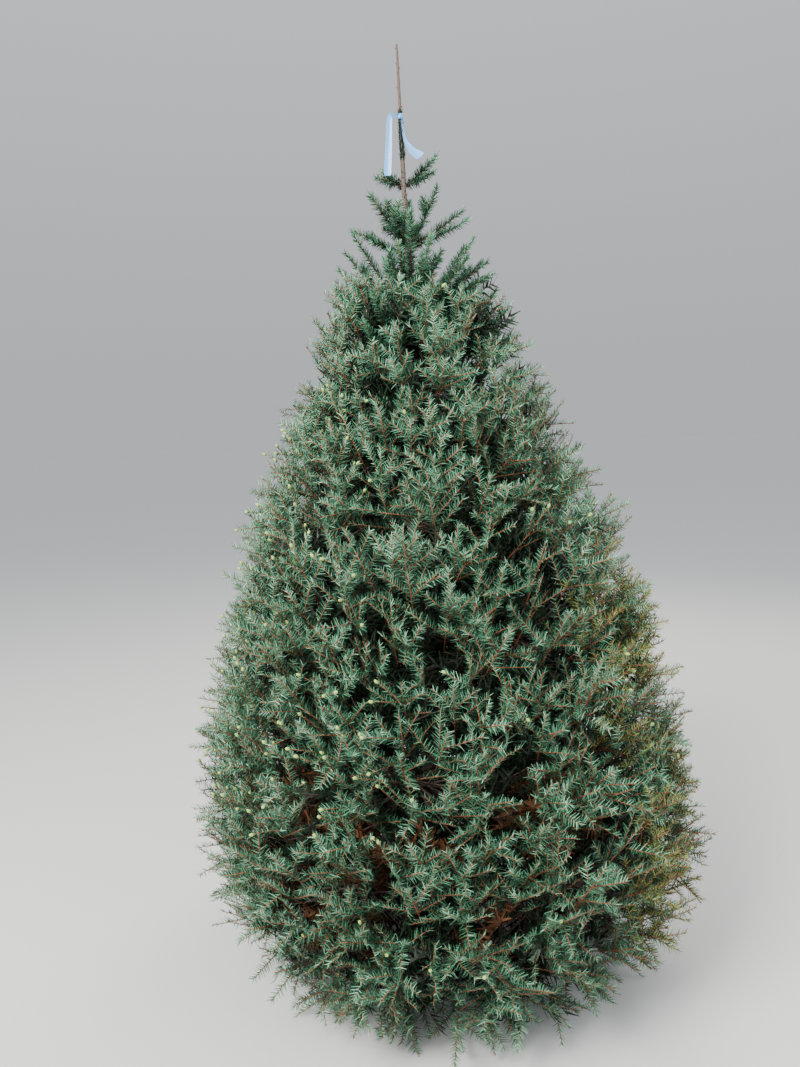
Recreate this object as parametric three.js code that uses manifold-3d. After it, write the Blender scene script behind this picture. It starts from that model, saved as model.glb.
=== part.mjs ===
// A young sheared spruce, rooted in level ground: trunk, boughs and masses of needled sprays.
// Millimetres, +Z up. The origin is the middle of the flat cut under the trunk, and the side
// from which the top of the trunk shows best faces -Y. A ribbon is tied round the leader.

import * as THREE from 'three';
import { mergeVertices } from 'three/addons/utils/BufferGeometryUtils.js';
import Module from 'manifold-3d';

const wasm = await Module();
wasm.setup();

const UP = new THREE.Vector3(0, 0, 1);
const { degToRad, lerp, clamp } = THREE.MathUtils;

// Whole tree
const HEIGHT = 2660; // ground to the tip of the leader
const LEAN = degToRad(0.9); // towards -X
const GAP = 0.3; // between a limb and what carries it
const CLEAR = 3; // between a mass and the limit of its space
const SEED = 2611;

// Trunk
const TRUNK_R = 38; // above the root flare
const TIP_R = 3;
const TRUNK_TAPER = 1.1;
const TRUNK_SIDES = 12;
const TRUNK_RINGS = 15;
const RING_CROWDING = 1.6; // rings stand closer together towards the foot
const FLARE = 14; // how far the root flare stands out at the ground
const FLARE_HEIGHT = 55;
const FLARE_LOBES = 5;

// Outline of the crown: a rounded cone that tucks in towards the ground
const CROWN_R = 765;
const CROWN_WIDEST = 550; // height of the widest place
const CROWN_TOP = 2500;
const CROWN_ROUND = 1.4;
const CROWN_TUCK = 0.29; // share of the radius lost at the ground
const CROWN_EAST = 0.06; // fuller towards +X
const CROWN_LUMPS = 0.03;
const TOP_REACH = 105; // reach of the shoots round the leader
const LOWEST = 4; // lowest needles above the ground

// Tiers of the crown, each between its own lower limit and the next tier's. A limit curves up
// outwards from the height foot at the trunk, by climb on the way out to the radius edge.
// parts is the number of masses round the trunk, first the bearing of the first one and
// spread the angle that they share, in degrees from +X towards +Y.
const TIERS = [
  { foot: 0, climb: 0, edge: 540, parts: 5, sprays: 9, first: 270, spread: 360, limbs: true },
  { foot: 152, climb: 178, edge: 740, parts: 5, sprays: 10, first: 306, spread: 360, limbs: true },
  { foot: 388, climb: 292, edge: 760, parts: 5, sprays: 10, first: 262, spread: 360, limbs: true },
  { foot: 705, climb: 325, edge: 670, parts: 4, sprays: 10, first: 300, spread: 360, limbs: true },
  { foot: 1056, climb: 324, edge: 540, parts: 4, sprays: 9, first: 255, spread: 360, limbs: true },
  { foot: 1431, climb: 289, edge: 405, parts: 4, sprays: 6, first: 212, spread: 360, limbs: false },
  { foot: 1850, climb: 200, edge: 235, parts: 4, sprays: 4, first: 185, spread: 360, limbs: false },
  { foot: 2100, climb: 150, edge: 140, parts: 2, sprays: 3, first: 30, spread: 240, limbs: false },
];
const TOP_LIMIT = { foot: 2310, climb: 140, edge: 105 };
const CURL = 1.5; // 1 for straight limits, more where they turn up towards the edge

// Boughs
const BOUGH_R = 11; // radius at the trunk in the lowest tier
const BOUGH_R_LOSS = 0.003; // less radius for each millimetre of height
const BOUGH_TIP = 0.6; // radius at the tip as a share of that at the trunk
const BOUGH_COLLAR = 0.35; // thickening at the trunk
const BOUGH_SHARE = 0.5; // length as a share of the way to the face of the core
const BOUGH_SIDES = 5;
const BOUGH_RINGS = 3;
const BOUGH_FROM = 0.34; // place between the tier's limits, at the trunk
const BOUGH_TO = 0.46; // the same, at the tip

// Masses: a stem, a core and sprays
const STEM_R = 6;
const STEM_R_HIGH = 4; // in the tiers without boughs
const CORE_STANDOFF = 25; // from the tip of the bough
const CORE_PAD = 16; // to the sides of the space
const CORE_HALF = 0.46; // half height as a share of the tier's
const CORE_ROUND = 0.13; // share by which its edges draw in
const CORE_LUMPS = 0.1;
const CORE_LEAST = 60; // a shallower core is left out

// Sprays: a needled shoot with side shoots, as a toothed blade on a thin stalk
const SPRAY_MOST = 230;
const SPRAY_LEAST = 140;
const SPRAY_SHARE = 0.3; // of the crown's radius
const SPRAY_BASE = 70;
const STEM_LEAST = 0.45; // length of a stem as a share of the crown's radius
const SPRAY_SUNK = 0.1; // share of its length that lies inside the core
const STALK_R = 4.5;
const BODY_WIDTH = 0.045; // half width of the axis, as a share of the length
const BODY_HEIGHT = 0.04; // its ridge, as a share of the length
const TEETH = [
  { from: 0.14, to: 0.42, tip: 0.52, out: 0.37 },
  { from: 0.42, to: 0.72, tip: 0.84, out: 0.27 },
];
const SLOPE_STEP = 60; // over which a tier's slope is measured
const LIFT = degToRad(12); // sprays rise more steeply than the tier
const RISE_MOST = degToRad(50); // even where the tier is steeper
const FAN = degToRad(10); // spread from the lowest to the highest spray of a mass
const DROOP = degToRad(24); // of the sprays at the ground
const DROOP_HEIGHT = 420;
const JITTER = degToRad(8);
const ROLL = degToRad(40);
const TIP_SCATTER = 0.07; // share of the radius by which tips stay behind the outline
const SPREAD_U = 0.7548776662; // steps that deal out points evenly over a mass
const SPREAD_V = 0.569840291;
const TRIES = 4; // a spray that leaves its space is turned inwards and tried again
const TURN_IN = 0.3;
const TIDY = 1.5; // details smaller than this are smoothed away after fusing

// Ribbon on the leader
const RIBBON_Z = 2465;
const RIBBON_THICK = 1.2;
const RIBBON_BAND = 18; // height of the knot
// Each tail has a bearing, a bearing that its flat side faces, and stations from the knot to its
// end: how far out, how far down and how wide.
const TAILS = [
  {
    bearing: 218,
    facing: 268,
    stations: [[0, 0, 9], [28, 1, 14], [33, 14, 23], [39, 90, 25], [47, 170, 25]],
  },
  {
    bearing: 315,
    facing: 285,
    stations: [[0, 0, 8], [2, 40, 7], [9, 70, 12], [34, 100, 24], [61, 120, 31]],
  },
];

const BARK = new THREE.MeshStandardMaterial({ color: 0x6e5f50, roughness: 0.9, metalness: 0 });
const NEEDLES = new THREE.MeshStandardMaterial({ color: 0x35543f, roughness: 0.7, metalness: 0 });
const TAPE = new THREE.MeshStandardMaterial({ color: 0xa9bfd6, roughness: 0.5, metalness: 0 });

// Chance

// A number from 0 to 1 that depends only on the seed and on the whole numbers given.
function chance(...keys) {
  let h = SEED;
  for (const key of keys) {
    h = Math.imul(h ^ key, 0x9e3779b1);
    h ^= h >>> 15;
    h = Math.imul(h, 0x85ebca6b);
    h ^= h >>> 13;
  }
  return (h >>> 0) / 4294967296;
}

// The same from -1 to 1.
function swing(...keys) {
  return 2 * chance(...keys) - 1;
}

// Solids

// A solid from its corners and its triangles, which face outwards.
function solid(corners, triangles) {
  const vertProperties = new Float32Array(corners.flatMap((p) => [p.x, p.y, p.z]));
  const triVerts = new Uint32Array(triangles.flat());
  return new wasm.Manifold(new wasm.Mesh({ numProp: 3, vertProperties, triVerts }));
}

// The solid through a row of rings with the same number of points.
function tube(rings) {
  const n = rings[0].length;
  const last = (rings.length - 1) * n;
  const triangles = [];
  for (let i = 0; i < rings.length - 1; i++) {
    for (let k = 0; k < n; k++) {
      const a = i * n + k;
      const b = i * n + ((k + 1) % n);
      triangles.push([a, b, b + n], [a, b + n, a + n]);
    }
  }
  for (let k = 1; k < n - 1; k++) {
    triangles.push([0, k + 1, k], [last, last + k, last + k + 1]);
  }
  return solid(rings.flat(), triangles);
}

// Directions to the left of a heading and above it.
function frame(ahead) {
  const left = new THREE.Vector3().crossVectors(UP, ahead).normalize();
  const above = new THREE.Vector3().crossVectors(ahead, left);
  return { left, above };
}

// A limb through the given points, each with its own radius.
function limb(centres, radii, sides) {
  const end = centres.length - 1;
  const rings = centres.map((centre, i) => {
    const before = centres[Math.max(i - 1, 0)];
    const ahead = centres[Math.min(i + 1, end)].clone().sub(before).normalize();
    const { left, above } = frame(ahead);
    return Array.from({ length: sides }, (_, k) => {
      const angle = (2 * Math.PI * k) / sides;
      return centre
        .clone()
        .addScaledVector(left, radii[i] * Math.cos(angle))
        .addScaledVector(above, radii[i] * Math.sin(angle));
    });
  });
  return tube(rings);
}

// The largest of the bodies that fusing or cutting left, with its hollows filled.
function whole(made) {
  return made.decompose().reduce((best, body) => (body.volume() > best.volume() ? body : best));
}

function mesh(name, body, material) {
  const { vertProperties, triVerts } = body.getMesh();
  const geometry = new THREE.BufferGeometry();
  geometry.setAttribute('position', new THREE.BufferAttribute(vertProperties, 3));
  geometry.setIndex(new THREE.BufferAttribute(triVerts, 1));
  geometry.computeVertexNormals();
  const made = new THREE.Mesh(geometry, material);
  made.name = name;
  return made;
}

// Trunk

function axisX(z) {
  return -z * Math.tan(LEAN);
}

function trunkRadius(z) {
  return TIP_R + (TRUNK_R - TIP_R) * (1 - z / HEIGHT) ** TRUNK_TAPER;
}

// The trunk with its root flare, thicker all round by the given amount.
function trunkSolid(extra) {
  const rings = Array.from({ length: TRUNK_RINGS }, (_, i) => {
    const z = HEIGHT * (i / (TRUNK_RINGS - 1)) ** RING_CROWDING;
    const flare = FLARE * Math.exp(-z / FLARE_HEIGHT);
    return Array.from({ length: TRUNK_SIDES }, (__, k) => {
      const angle = (2 * Math.PI * k) / TRUNK_SIDES;
      const lobe = 1 + 0.4 * Math.cos(FLARE_LOBES * angle);
      const r = trunkRadius(z) + flare * lobe + extra;
      return new THREE.Vector3(axisX(z) + r * Math.cos(angle), r * Math.sin(angle), z);
    });
  });
  return tube(rings);
}

// Crown

// Radius of the crown's outline at a height and bearing.
function crownRadius(z, bearing) {
  const above = clamp((z - CROWN_WIDEST) / (CROWN_TOP - CROWN_WIDEST), 0, 1);
  const below = clamp((CROWN_WIDEST - z) / CROWN_WIDEST, 0, 1);
  const cone = (1 - above ** CROWN_ROUND) * (1 - CROWN_TUCK * below ** 3);
  const lump = Math.sin(3 * bearing + z / 140) + Math.sin(5 * bearing - z / 90);
  const side = 1 + CROWN_EAST * Math.cos(bearing) + (CROWN_LUMPS * lump) / 2;
  return Math.max(CROWN_R * cone, TOP_REACH) * side;
}

function limitHeight(limit, r) {
  return limit.foot + limit.climb * (r / limit.edge) ** CURL;
}

// Height of the surface that lies at the share v between a tier's limits, at radius r.
function tierHeight(space, v, r) {
  return lerp(limitHeight(space.low, r), limitHeight(space.high, r), v);
}

// A point given by bearing, share between the limits and radius from the trunk's axis.
function place(space, bearing, v, r) {
  const z = tierHeight(space, v, r);
  return new THREE.Vector3(axisX(z) + r * Math.cos(bearing), r * Math.sin(bearing), z);
}

// Radius at which that surface meets the crown's outline.
function reach(space, bearing, v) {
  let inner = 0;
  let outer = 2 * CROWN_R;
  for (let i = 0; i < 24; i++) {
    const r = (inner + outer) / 2;
    if (r < crownRadius(tierHeight(space, v, r), bearing)) inner = r;
    else outer = r;
  }
  return inner;
}

function sprayLength(radius) {
  return clamp(SPRAY_SHARE * radius + SPRAY_BASE, SPRAY_LEAST, SPRAY_MOST);
}

// Radius of the face of the core, out of which the sprays stand.
function coreReach(radius) {
  return Math.max(radius - (1 - SPRAY_SUNK) * sprayLength(radius), STEM_LEAST * radius);
}

// True where a point lies in a mass's space with room to spare.
function inSpace(space, point) {
  const x = point.x - axisX(point.z);
  const r = Math.hypot(x, point.y);
  const off = Math.atan2(point.y, x) - space.bearing;
  const turned = Math.abs(Math.atan2(Math.sin(off), Math.cos(off)));
  const beside = turned < space.half ? r * Math.sin(Math.min(space.half - turned, Math.PI / 2)) : 0;
  const floor = Math.max(limitHeight(space.low, r) + CLEAR, LOWEST);
  const roof = limitHeight(space.high, r) - CLEAR;
  return beside > CLEAR && r > space.inner && point.z > floor && point.z < roof;
}

// The spaces of all masses, with the radius where each one's bough ends.
function makeSpaces() {
  const spaces = [];
  TIERS.forEach((tier, t) => {
    const step = degToRad(tier.spread) / tier.parts;
    for (let p = 0; p < tier.parts; p++) {
      const space = {
        tier: t + 1,
        part: p + 1,
        key: 16 * (t + 1) + p,
        low: tier,
        high: TIERS[t + 1] ?? TOP_LIMIT,
        sprays: tier.sprays,
        bearing: degToRad(tier.first) + p * step,
        half: step / 2,
      };
      const face = coreReach(reach(space, space.bearing, 0.5));
      const trunk = trunkRadius(tierHeight(space, BOUGH_FROM, 0));
      space.limb = tier.limbs;
      space.face = face;
      space.trunk = trunk;
      space.tip = tier.limbs ? BOUGH_SHARE * face : trunk;
      space.inner = space.tip + (tier.limbs ? CORE_STANDOFF / 2 : 2 * CLEAR);
      spaces.push(space);
    }
  });
  return spaces;
}

// Boughs

// The way that a bough and then its mass's stem take outwards through their space.
function wayOut(space, r) {
  const along = clamp(r / Math.max(space.tip, 1), 0, 1);
  const v = lerp(BOUGH_FROM, BOUGH_TO, space.limb ? along ** 1.5 : 1);
  return place(space, space.bearing, v, r);
}

function boughSolid(space, trunkCut) {
  const base = BOUGH_R - BOUGH_R_LOSS * tierHeight(space, BOUGH_FROM, 0);
  const start = space.trunk / 2;
  const centres = [];
  const radii = [];
  for (let i = 0; i <= BOUGH_RINGS; i++) {
    const along = i / BOUGH_RINGS;
    const r = lerp(start, space.tip, along ** 1.3);
    const collar = 1 + BOUGH_COLLAR * Math.exp(-Math.max(r - space.trunk, 0) / 15);
    centres.push(wayOut(space, r));
    radii.push(base * lerp(1, BOUGH_TIP, along) * collar);
  }
  space.tipRadius = radii[BOUGH_RINGS];
  const last = centres[BOUGH_RINGS];
  space.ahead = last.clone().sub(centres[BOUGH_RINGS - 1]).normalize();
  space.tipPoint = last;
  return whole(limb(centres, radii, BOUGH_SIDES).subtract(trunkCut));
}

// Masses

// The dense inside of a mass, a lumpy cushion that fills the middle of its space.
function coreSolid(space) {
  const box = new THREE.BoxGeometry(2, 2, 2, 1, 2, 2);
  box.deleteAttribute('normal');
  box.deleteAttribute('uv');
  const merged = mergeVertices(box);
  const unit = merged.getAttribute('position');
  const corners = [];
  for (let i = 0; i < unit.count; i++) {
    const [out, across, up] = [unit.getX(i), unit.getY(i), unit.getZ(i)];
    const v = 0.5 + CORE_HALF * up * (1 - CORE_ROUND * Math.abs(across));
    const rounding = 1 - CORE_ROUND * (Math.abs(across) + Math.abs(up)) - CORE_LUMPS * chance(space.key, i);
    const inner = space.tip + CORE_STANDOFF;
    const r = out > 0 ? coreReach(reach(space, space.bearing, v)) * rounding : inner;
    const side = space.half - Math.asin(Math.min((CLEAR + CORE_PAD) / r, 1));
    corners.push(place(space, space.bearing + side * across * (1 - CORE_ROUND * Math.abs(up)), v, r));
  }
  const index = Array.from(merged.getIndex().array);
  const triangles = Array.from({ length: index.length / 3 }, (_, i) => index.slice(3 * i, 3 * i + 3));
  return solid(corners, triangles);
}

// Where a spray of a mass starts, how it heads and how long it is. Try 0 is the first choice,
// later tries turn it towards the middle of the space.
function sprayPlan(space, index, attempt) {
  const inward = (1 - TURN_IN) ** attempt;
  const u = inward * (2 * ((0.5 + index * SPREAD_U) % 1) - 1);
  const w = inward * (2 * ((0.5 + index * SPREAD_V) % 1) - 1);
  const widest = reach(space, space.bearing, 0.5);
  const length = sprayLength(widest) * (1 + 0.12 * swing(space.key, index, 1));
  const room = (TEETH[0].out * length + CLEAR) / widest;
  const bearing = space.bearing + u * Math.max(space.half - room, 0);
  const v = 0.5 + 0.47 * w;
  const radius = reach(space, bearing, v) * (1 - TIP_SCATTER * chance(space.key, index, 2));
  const tip = place(space, bearing, v, radius);
  const low = clamp(1 - tip.z / DROOP_HEIGHT, 0, 1);
  const behind = tierHeight(space, v, radius - SLOPE_STEP);
  const slope = Math.atan2(tierHeight(space, v, radius) - behind, SLOPE_STEP);
  const wander = inward * JITTER * swing(space.key, index, 3);
  const rise = Math.min(slope + LIFT, RISE_MOST) + FAN * w - DROOP * low + wander;
  const heading = bearing + inward * JITTER * (swing(space.key, index, 4) - u);
  const ahead = new THREE.Vector3(
    Math.cos(heading) * Math.cos(rise),
    Math.sin(heading) * Math.cos(rise),
    Math.sin(rise),
  );
  const base = tip.clone().addScaledVector(ahead, -length);
  const baseRadius = Math.hypot(base.x - axisX(base.z), base.y);
  const from = wayOut(space, clamp(0.8 * baseRadius, space.tip + 2 * CLEAR, 0.96 * space.face));
  const roll = inward * ROLL * swing(space.key, index, 5);
  return { from, base, ahead, length, roll };
}

// A stalk and a blade with a ridge on top and teeth on both sides.
function spraySolid(plan) {
  const { from, base, ahead, length, roll } = plan;
  const { left, above } = frame(ahead);
  const side = left.clone().applyAxisAngle(ahead, roll);
  const top = above.clone().applyAxisAngle(ahead, roll);
  const at = (x, y, z) =>
    base
      .clone()
      .addScaledVector(ahead, x * length)
      .addScaledVector(side, y * length)
      .addScaledVector(top, z * length);
  const stalk = frame(base.clone().sub(from).normalize());
  const corners = [
    from.clone().addScaledVector(stalk.left, STALK_R),
    from.clone().addScaledVector(stalk.left, -STALK_R),
    from.clone().addScaledVector(stalk.above, STALK_R),
  ];
  const triangles = [[0, 1, 2]];
  // Joins the last three corners, left, right and top, to three new ones, round two teeth.
  const station = (x, width, height, tooth) => {
    const [l, r, t] = [corners.length - 3, corners.length - 2, corners.length - 1];
    const teeth = corners.length;
    if (tooth) corners.push(at(tooth.tip, tooth.out, 0), at(tooth.tip, -tooth.out, 0));
    const n = corners.length;
    corners.push(at(x, width, 0), at(x, -width, 0), at(x, 0, height));
    const [nl, nr, nt] = [n, n + 1, n + 2];
    if (tooth) {
      const [tl, tr] = [teeth, teeth + 1];
      triangles.push([t, nt, tl], [t, tl, l], [nt, nl, tl]);
      triangles.push([t, tr, nt], [t, r, tr], [nt, tr, nr]);
      triangles.push([l, tl, nl], [r, nr, tr]);
    } else {
      triangles.push([t, nt, nl], [t, nl, l], [t, nr, nt], [t, r, nr]);
    }
    triangles.push([l, nl, nr], [l, nr, r]);
  };
  station(TEETH[0].from, BODY_WIDTH, BODY_HEIGHT);
  for (const tooth of TEETH) {
    station(tooth.to, BODY_WIDTH * (1.1 - 0.4 * tooth.to), BODY_HEIGHT, tooth);
  }
  const [l, r, t] = [corners.length - 3, corners.length - 2, corners.length - 1];
  const e = corners.length;
  corners.push(at(1, 0, 0));
  triangles.push([t, e, l], [t, r, e], [l, e, r]);
  return { body: solid(corners, triangles), reached: corners.slice(3) };
}

// The stem that carries a mass on from its bough or from the trunk.
function stemSolid(space) {
  const thick = space.limb ? STEM_R : STEM_R_HIGH;
  const end = wayOut(space, 0.97 * space.face);
  if (!space.limb) {
    const middle = wayOut(space, (space.tip + space.face) / 2);
    return limb([wayOut(space, space.trunk / 2), middle, end], [thick, thick, thick * 0.7], 4);
  }
  const start = space.tipPoint.clone().addScaledVector(space.ahead, GAP);
  const next = start.clone().addScaledVector(space.ahead, CORE_STANDOFF);
  return limb([start, next, end], [space.tipRadius, thick, thick * 0.7], 4);
}

function massSolid(space, trunkCut) {
  const pieces = [stemSolid(space)];
  const depth = space.face - space.tip - CORE_STANDOFF;
  if (depth > CORE_LEAST) pieces.push(coreSolid(space));
  for (let i = 0; i < space.sprays; i++) {
    let spray = null;
    for (let attempt = 0; attempt < TRIES && !spray; attempt++) {
      const made = spraySolid(sprayPlan(space, i, attempt));
      if (made.reached.every((p) => inSpace(space, p))) spray = made.body;
    }
    if (spray) pieces.push(spray);
  }
  const fused = whole(wasm.Manifold.union(pieces).simplify(TIDY));
  return space.limb ? fused : whole(fused.subtract(trunkCut));
}

// Ribbon

// One tail, a flat strip drawn through its stations.
function tailSolid({ bearing, facing, stations }, knot, hold) {
  const outwards = new THREE.Vector3(Math.cos(degToRad(bearing)), Math.sin(degToRad(bearing)), 0);
  const front = new THREE.Vector3(Math.cos(degToRad(facing)), Math.sin(degToRad(facing)), 0);
  const middles = stations.map(([out, drop]) =>
    knot.clone().addScaledVector(outwards, hold + out).addScaledVector(UP, -drop),
  );
  const sections = stations.map(([, , width], i) => {
    const after = middles[Math.min(i + 1, middles.length - 1)];
    const along = after.clone().sub(middles[Math.max(i - 1, 0)]).normalize();
    const wide = front.clone().cross(along).normalize();
    const thick = along.clone().cross(wide);
    const [a, b] = [width / 2, RIBBON_THICK / 2];
    return [
      [a, b],
      [-a, b],
      [-a, -b],
      [a, -b],
    ].map(([u, v]) => middles[i].clone().addScaledVector(wide, u).addScaledVector(thick, v));
  });
  return tube(sections);
}

function ribbonSolid(trunkCut) {
  const half = RIBBON_THICK / 2;
  const centre = new THREE.Vector3(axisX(RIBBON_Z), 0, RIBBON_Z);
  const outer = trunkRadius(RIBBON_Z) + GAP + 2 * RIBBON_THICK;
  const ends = [-RIBBON_BAND / 2, RIBBON_BAND / 2];
  const rings = ends.map((rise) =>
    Array.from({ length: TRUNK_SIDES }, (_, k) => {
      const angle = (2 * Math.PI * k) / TRUNK_SIDES;
      return new THREE.Vector3(
        axisX(RIBBON_Z + rise) + outer * Math.cos(angle),
        outer * Math.sin(angle),
        centre.z + rise,
      );
    }),
  );
  const pieces = [tube(rings)];
  for (const tail of TAILS) pieces.push(tailSolid(tail, centre, outer - half));
  return whole(wasm.Manifold.union(pieces).subtract(trunkCut));
}

// Whole tree

function build() {
  const tree = new THREE.Group();
  const trunkCut = trunkSolid(GAP);
  tree.add(mesh('trunk', trunkSolid(0), BARK));
  for (const space of makeSpaces()) {
    const label = `${space.tier}_${space.part}`;
    if (space.limb) tree.add(mesh(`bough_${label}`, boughSolid(space, trunkCut), BARK));
    tree.add(mesh(`foliage_${label}`, massSolid(space, trunkCut), NEEDLES));
  }
  tree.add(mesh('ribbon', ribbonSolid(trunkCut), TAPE));
  return tree;
}

export default build();
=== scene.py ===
"""A young sheared spruce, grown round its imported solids: bark, twigs, needles, buds and a ribbon.

The growth rule works in millimetres and is the one that laid out the solids. It is carried on
here to finer shoots. Every mesh is written in metres, in the frame's own axes.
"""

import math
from collections import namedtuple
from functools import lru_cache

import bmesh
import bpy
import numpy as np
from bpy.props import FloatProperty, FloatVectorProperty, IntProperty, PointerProperty
from mathutils import Matrix, Vector


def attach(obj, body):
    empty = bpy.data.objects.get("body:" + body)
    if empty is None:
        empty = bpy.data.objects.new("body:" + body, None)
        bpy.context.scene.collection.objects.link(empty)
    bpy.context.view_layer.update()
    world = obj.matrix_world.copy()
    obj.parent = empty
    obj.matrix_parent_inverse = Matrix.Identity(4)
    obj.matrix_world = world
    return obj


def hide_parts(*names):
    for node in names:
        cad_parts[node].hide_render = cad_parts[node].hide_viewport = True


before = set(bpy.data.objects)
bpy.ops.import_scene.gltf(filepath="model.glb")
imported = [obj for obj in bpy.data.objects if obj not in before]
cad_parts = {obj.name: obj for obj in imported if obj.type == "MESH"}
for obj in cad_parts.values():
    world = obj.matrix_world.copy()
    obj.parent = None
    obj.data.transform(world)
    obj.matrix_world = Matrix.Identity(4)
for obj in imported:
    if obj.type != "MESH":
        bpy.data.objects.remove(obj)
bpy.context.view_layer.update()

bl_info = {
    "name": "Sheared spruce",
    "version": (1, 0, 0),
    "blender": (4, 5, 0),
    "location": "3D View > Sidebar > Spruce",
    "description": "Grows a young sheared spruce with bark, twigs, needles, buds and a ribbon",
    "category": "Add Mesh",
}

MM = 0.001
UP = np.array([0.0, 0.0, 1.0])
GOLDEN_ANGLE = 2.39996  # deals out needles and buds evenly round the leader

# Whole tree. All sizes here are in millimetres, and angles in radians unless a comment says so
HEIGHT = 2660.0  # ground to the tip of the leader
LEAN = math.radians(0.9)  # towards -X
CLEAR = 3.0  # between a spray of the solids and the limit of its space
SEED = 2611
LOWEST = 4.0  # lowest shoots above the ground
LOWEST_NEEDLE = 1.0

# Trunk
TRUNK_R = 38.0  # above the root flare
TIP_R = 3.0
TRUNK_TAPER = 1.1
TRUNK_SIDES = 24
TRUNK_RINGS = 72
RING_CROWDING = 1.35  # rings stand closer together towards the foot
RING_SUNK = 0.3  # of the rings inside the radius, from which the bark stands out
FLARE = 14.0  # how far the root flare stands out at the ground
FLARE_HEIGHT = 55.0
FLARE_ALL_ROUND = 0.75  # share of the flare that isn't in its lobes
FLARE_LOBES = 5
LOBE_PULLS = ((30.0, 3.0), (60.0, 1.5))  # height up to which a lobe is pulled, and how far
LOBE_NARROW = 0.92  # cosine of its half angle
FOOT = 6.0  # height of the smooth strip above the flat cut
SWELLING = (0.07, 165.0, 330.0, 28.0)  # at the whorls: share, first height, step and half height
YOUNG = (2100.0, 2400.0)  # where bark passes into the brown of the young leader

# Outline of the crown
CROWN_R = 765.0
CROWN_WIDEST = 550.0  # height of the widest place
CROWN_TOP = 2500.0
CROWN_ROUND = 1.4
CROWN_TUCK = 0.29  # share of the radius lost at the ground
CROWN_EAST = 0.06  # fuller towards +X
CROWN_LUMPS = 0.03
TOP_REACH = 105.0  # reach of the shoots round the leader

# Tiers of the crown, from the ground up. The lower limit of each is a bowl with a foot on the
# trunk and a climb up to its edge, and its masses share an angle from the bearing of the first,
# in degrees. Sprays are counted for each mass of the solids, and grow here "more" times over
Tier = namedtuple("Tier", "foot climb edge masses sprays first angle boughs more")
TIERS = (
    Tier(0, 0, 540, 5, 9, 270, 360, True, 3.0),
    Tier(152, 178, 740, 5, 10, 306, 360, True, 4.1),
    Tier(388, 292, 760, 5, 10, 262, 360, True, 4.0),
    Tier(705, 325, 670, 4, 10, 300, 360, True, 4.1),
    Tier(1056, 324, 540, 4, 9, 255, 360, True, 3.8),
    Tier(1431, 289, 405, 4, 6, 212, 360, False, 4.3),
    Tier(1850, 200, 235, 4, 4, 185, 360, False, 1.0),
    Tier(2100, 150, 140, 2, 3, 30, 240, False, 1.34),
)
TOP_LIMIT = (2310, 140, 105)
CURL = 1.5  # 1 for straight limits, more where they turn up towards the edge

# Boughs
BOUGH_R = 11.0  # radius at the trunk in the lowest tier
BOUGH_R_LOSS = 0.003  # less radius for each millimetre of height
BOUGH_TIP = 0.6  # radius at the tip as a share of that at the trunk
LIMB_ROOT = 0.7  # where it starts inside the trunk, as a share of the trunk's radius
BOUGH_COLLAR = 0.35  # thickening at the trunk
COLLAR_LENGTH = 15.0
BOUGH_SHARE = 0.5  # length as a share of the way to the roots of the sprays
BOUGH_FROM = 0.34  # place between the tier's limits, at the trunk
BOUGH_TO = 0.46  # the same, at the tip
BOUGH_SWAY = 2.5
BOUGH_SIDES = 10
BOUGH_RINGS = 9
RINGS_OUTWARDS = 1.3  # rings stand closer together towards the trunk

# Stems of the masses, and the twig that carries each spray
STEM_R = 6.0
STEM_R_HIGH = 4.0  # in the tiers without boughs
STEM_SUNK = 6.0  # in the tip of the bough
STEM_ROOT = 0.6  # where it starts otherwise, as a share of the trunk's radius
STEM_TIP = 0.5  # radius at the tip as a share of that at the root
STEM_SIDES = 7
STEM_RINGS = 7
CORE_STANDOFF = 25.0
STALK_R = (3.4, 1.9)  # radius at the stem and in the spray
STALK_INTO = 0.08  # how far it runs into the spray, as a share of the spray's length
STALK_BENDS = (0.35, 0.4)  # how far its ends keep their headings, as shares of its length
STALK_RINGS = 4
STALK_RISE = 120.0  # the higher, the more steeply a stalk leaves the stem

# Sprays, as in the solids
SPRAY_MOST = 230.0
SPRAY_LEAST = 140.0
SPRAY_SHARE = 0.3  # of the crown's radius
SPRAY_BASE = 70.0
SPRAY_VARIES = 0.12
STEM_LEAST = 0.45  # length of a stem as a share of the crown's radius
SPRAY_SUNK = 0.1  # share of its length behind the place where the stem ends
# Teeth of a blade: from, to, and place and reach of the tip, as shares of the spray's length
TEETH = ((0.14, 0.42, 0.52, 0.37), (0.42, 0.72, 0.84, 0.27))
BODY_WIDTH = 0.045  # half width of the axis, as a share of the length
BODY_HEIGHT = 0.04  # its ridge, as a share of the length
SPREAD_U = 0.7548776662  # steps that deal out points evenly over a mass
SPREAD_V = 0.569840291
SOLID_SPAN = 0.47  # from the middle of the tier up and down, as a share of its height
SLOPE_STEP = 60.0  # over which a tier's slope is measured
LIFT = math.radians(12)  # sprays rise more steeply than the tier
RISE_MOST = math.radians(50)
FAN = math.radians(10)  # spread from the lowest to the highest spray of a mass
DROOP = math.radians(24)  # of the sprays at the ground
DROOP_HEIGHT = 420.0
JITTER = math.radians(8)
ROLL = math.radians(40)
TIP_SCATTER = 0.07  # share of the radius by which tips stay behind the outline
TRIES = 4  # a spray that leaves its space is turned inwards and tried again
TURN_IN = 0.3

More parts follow.
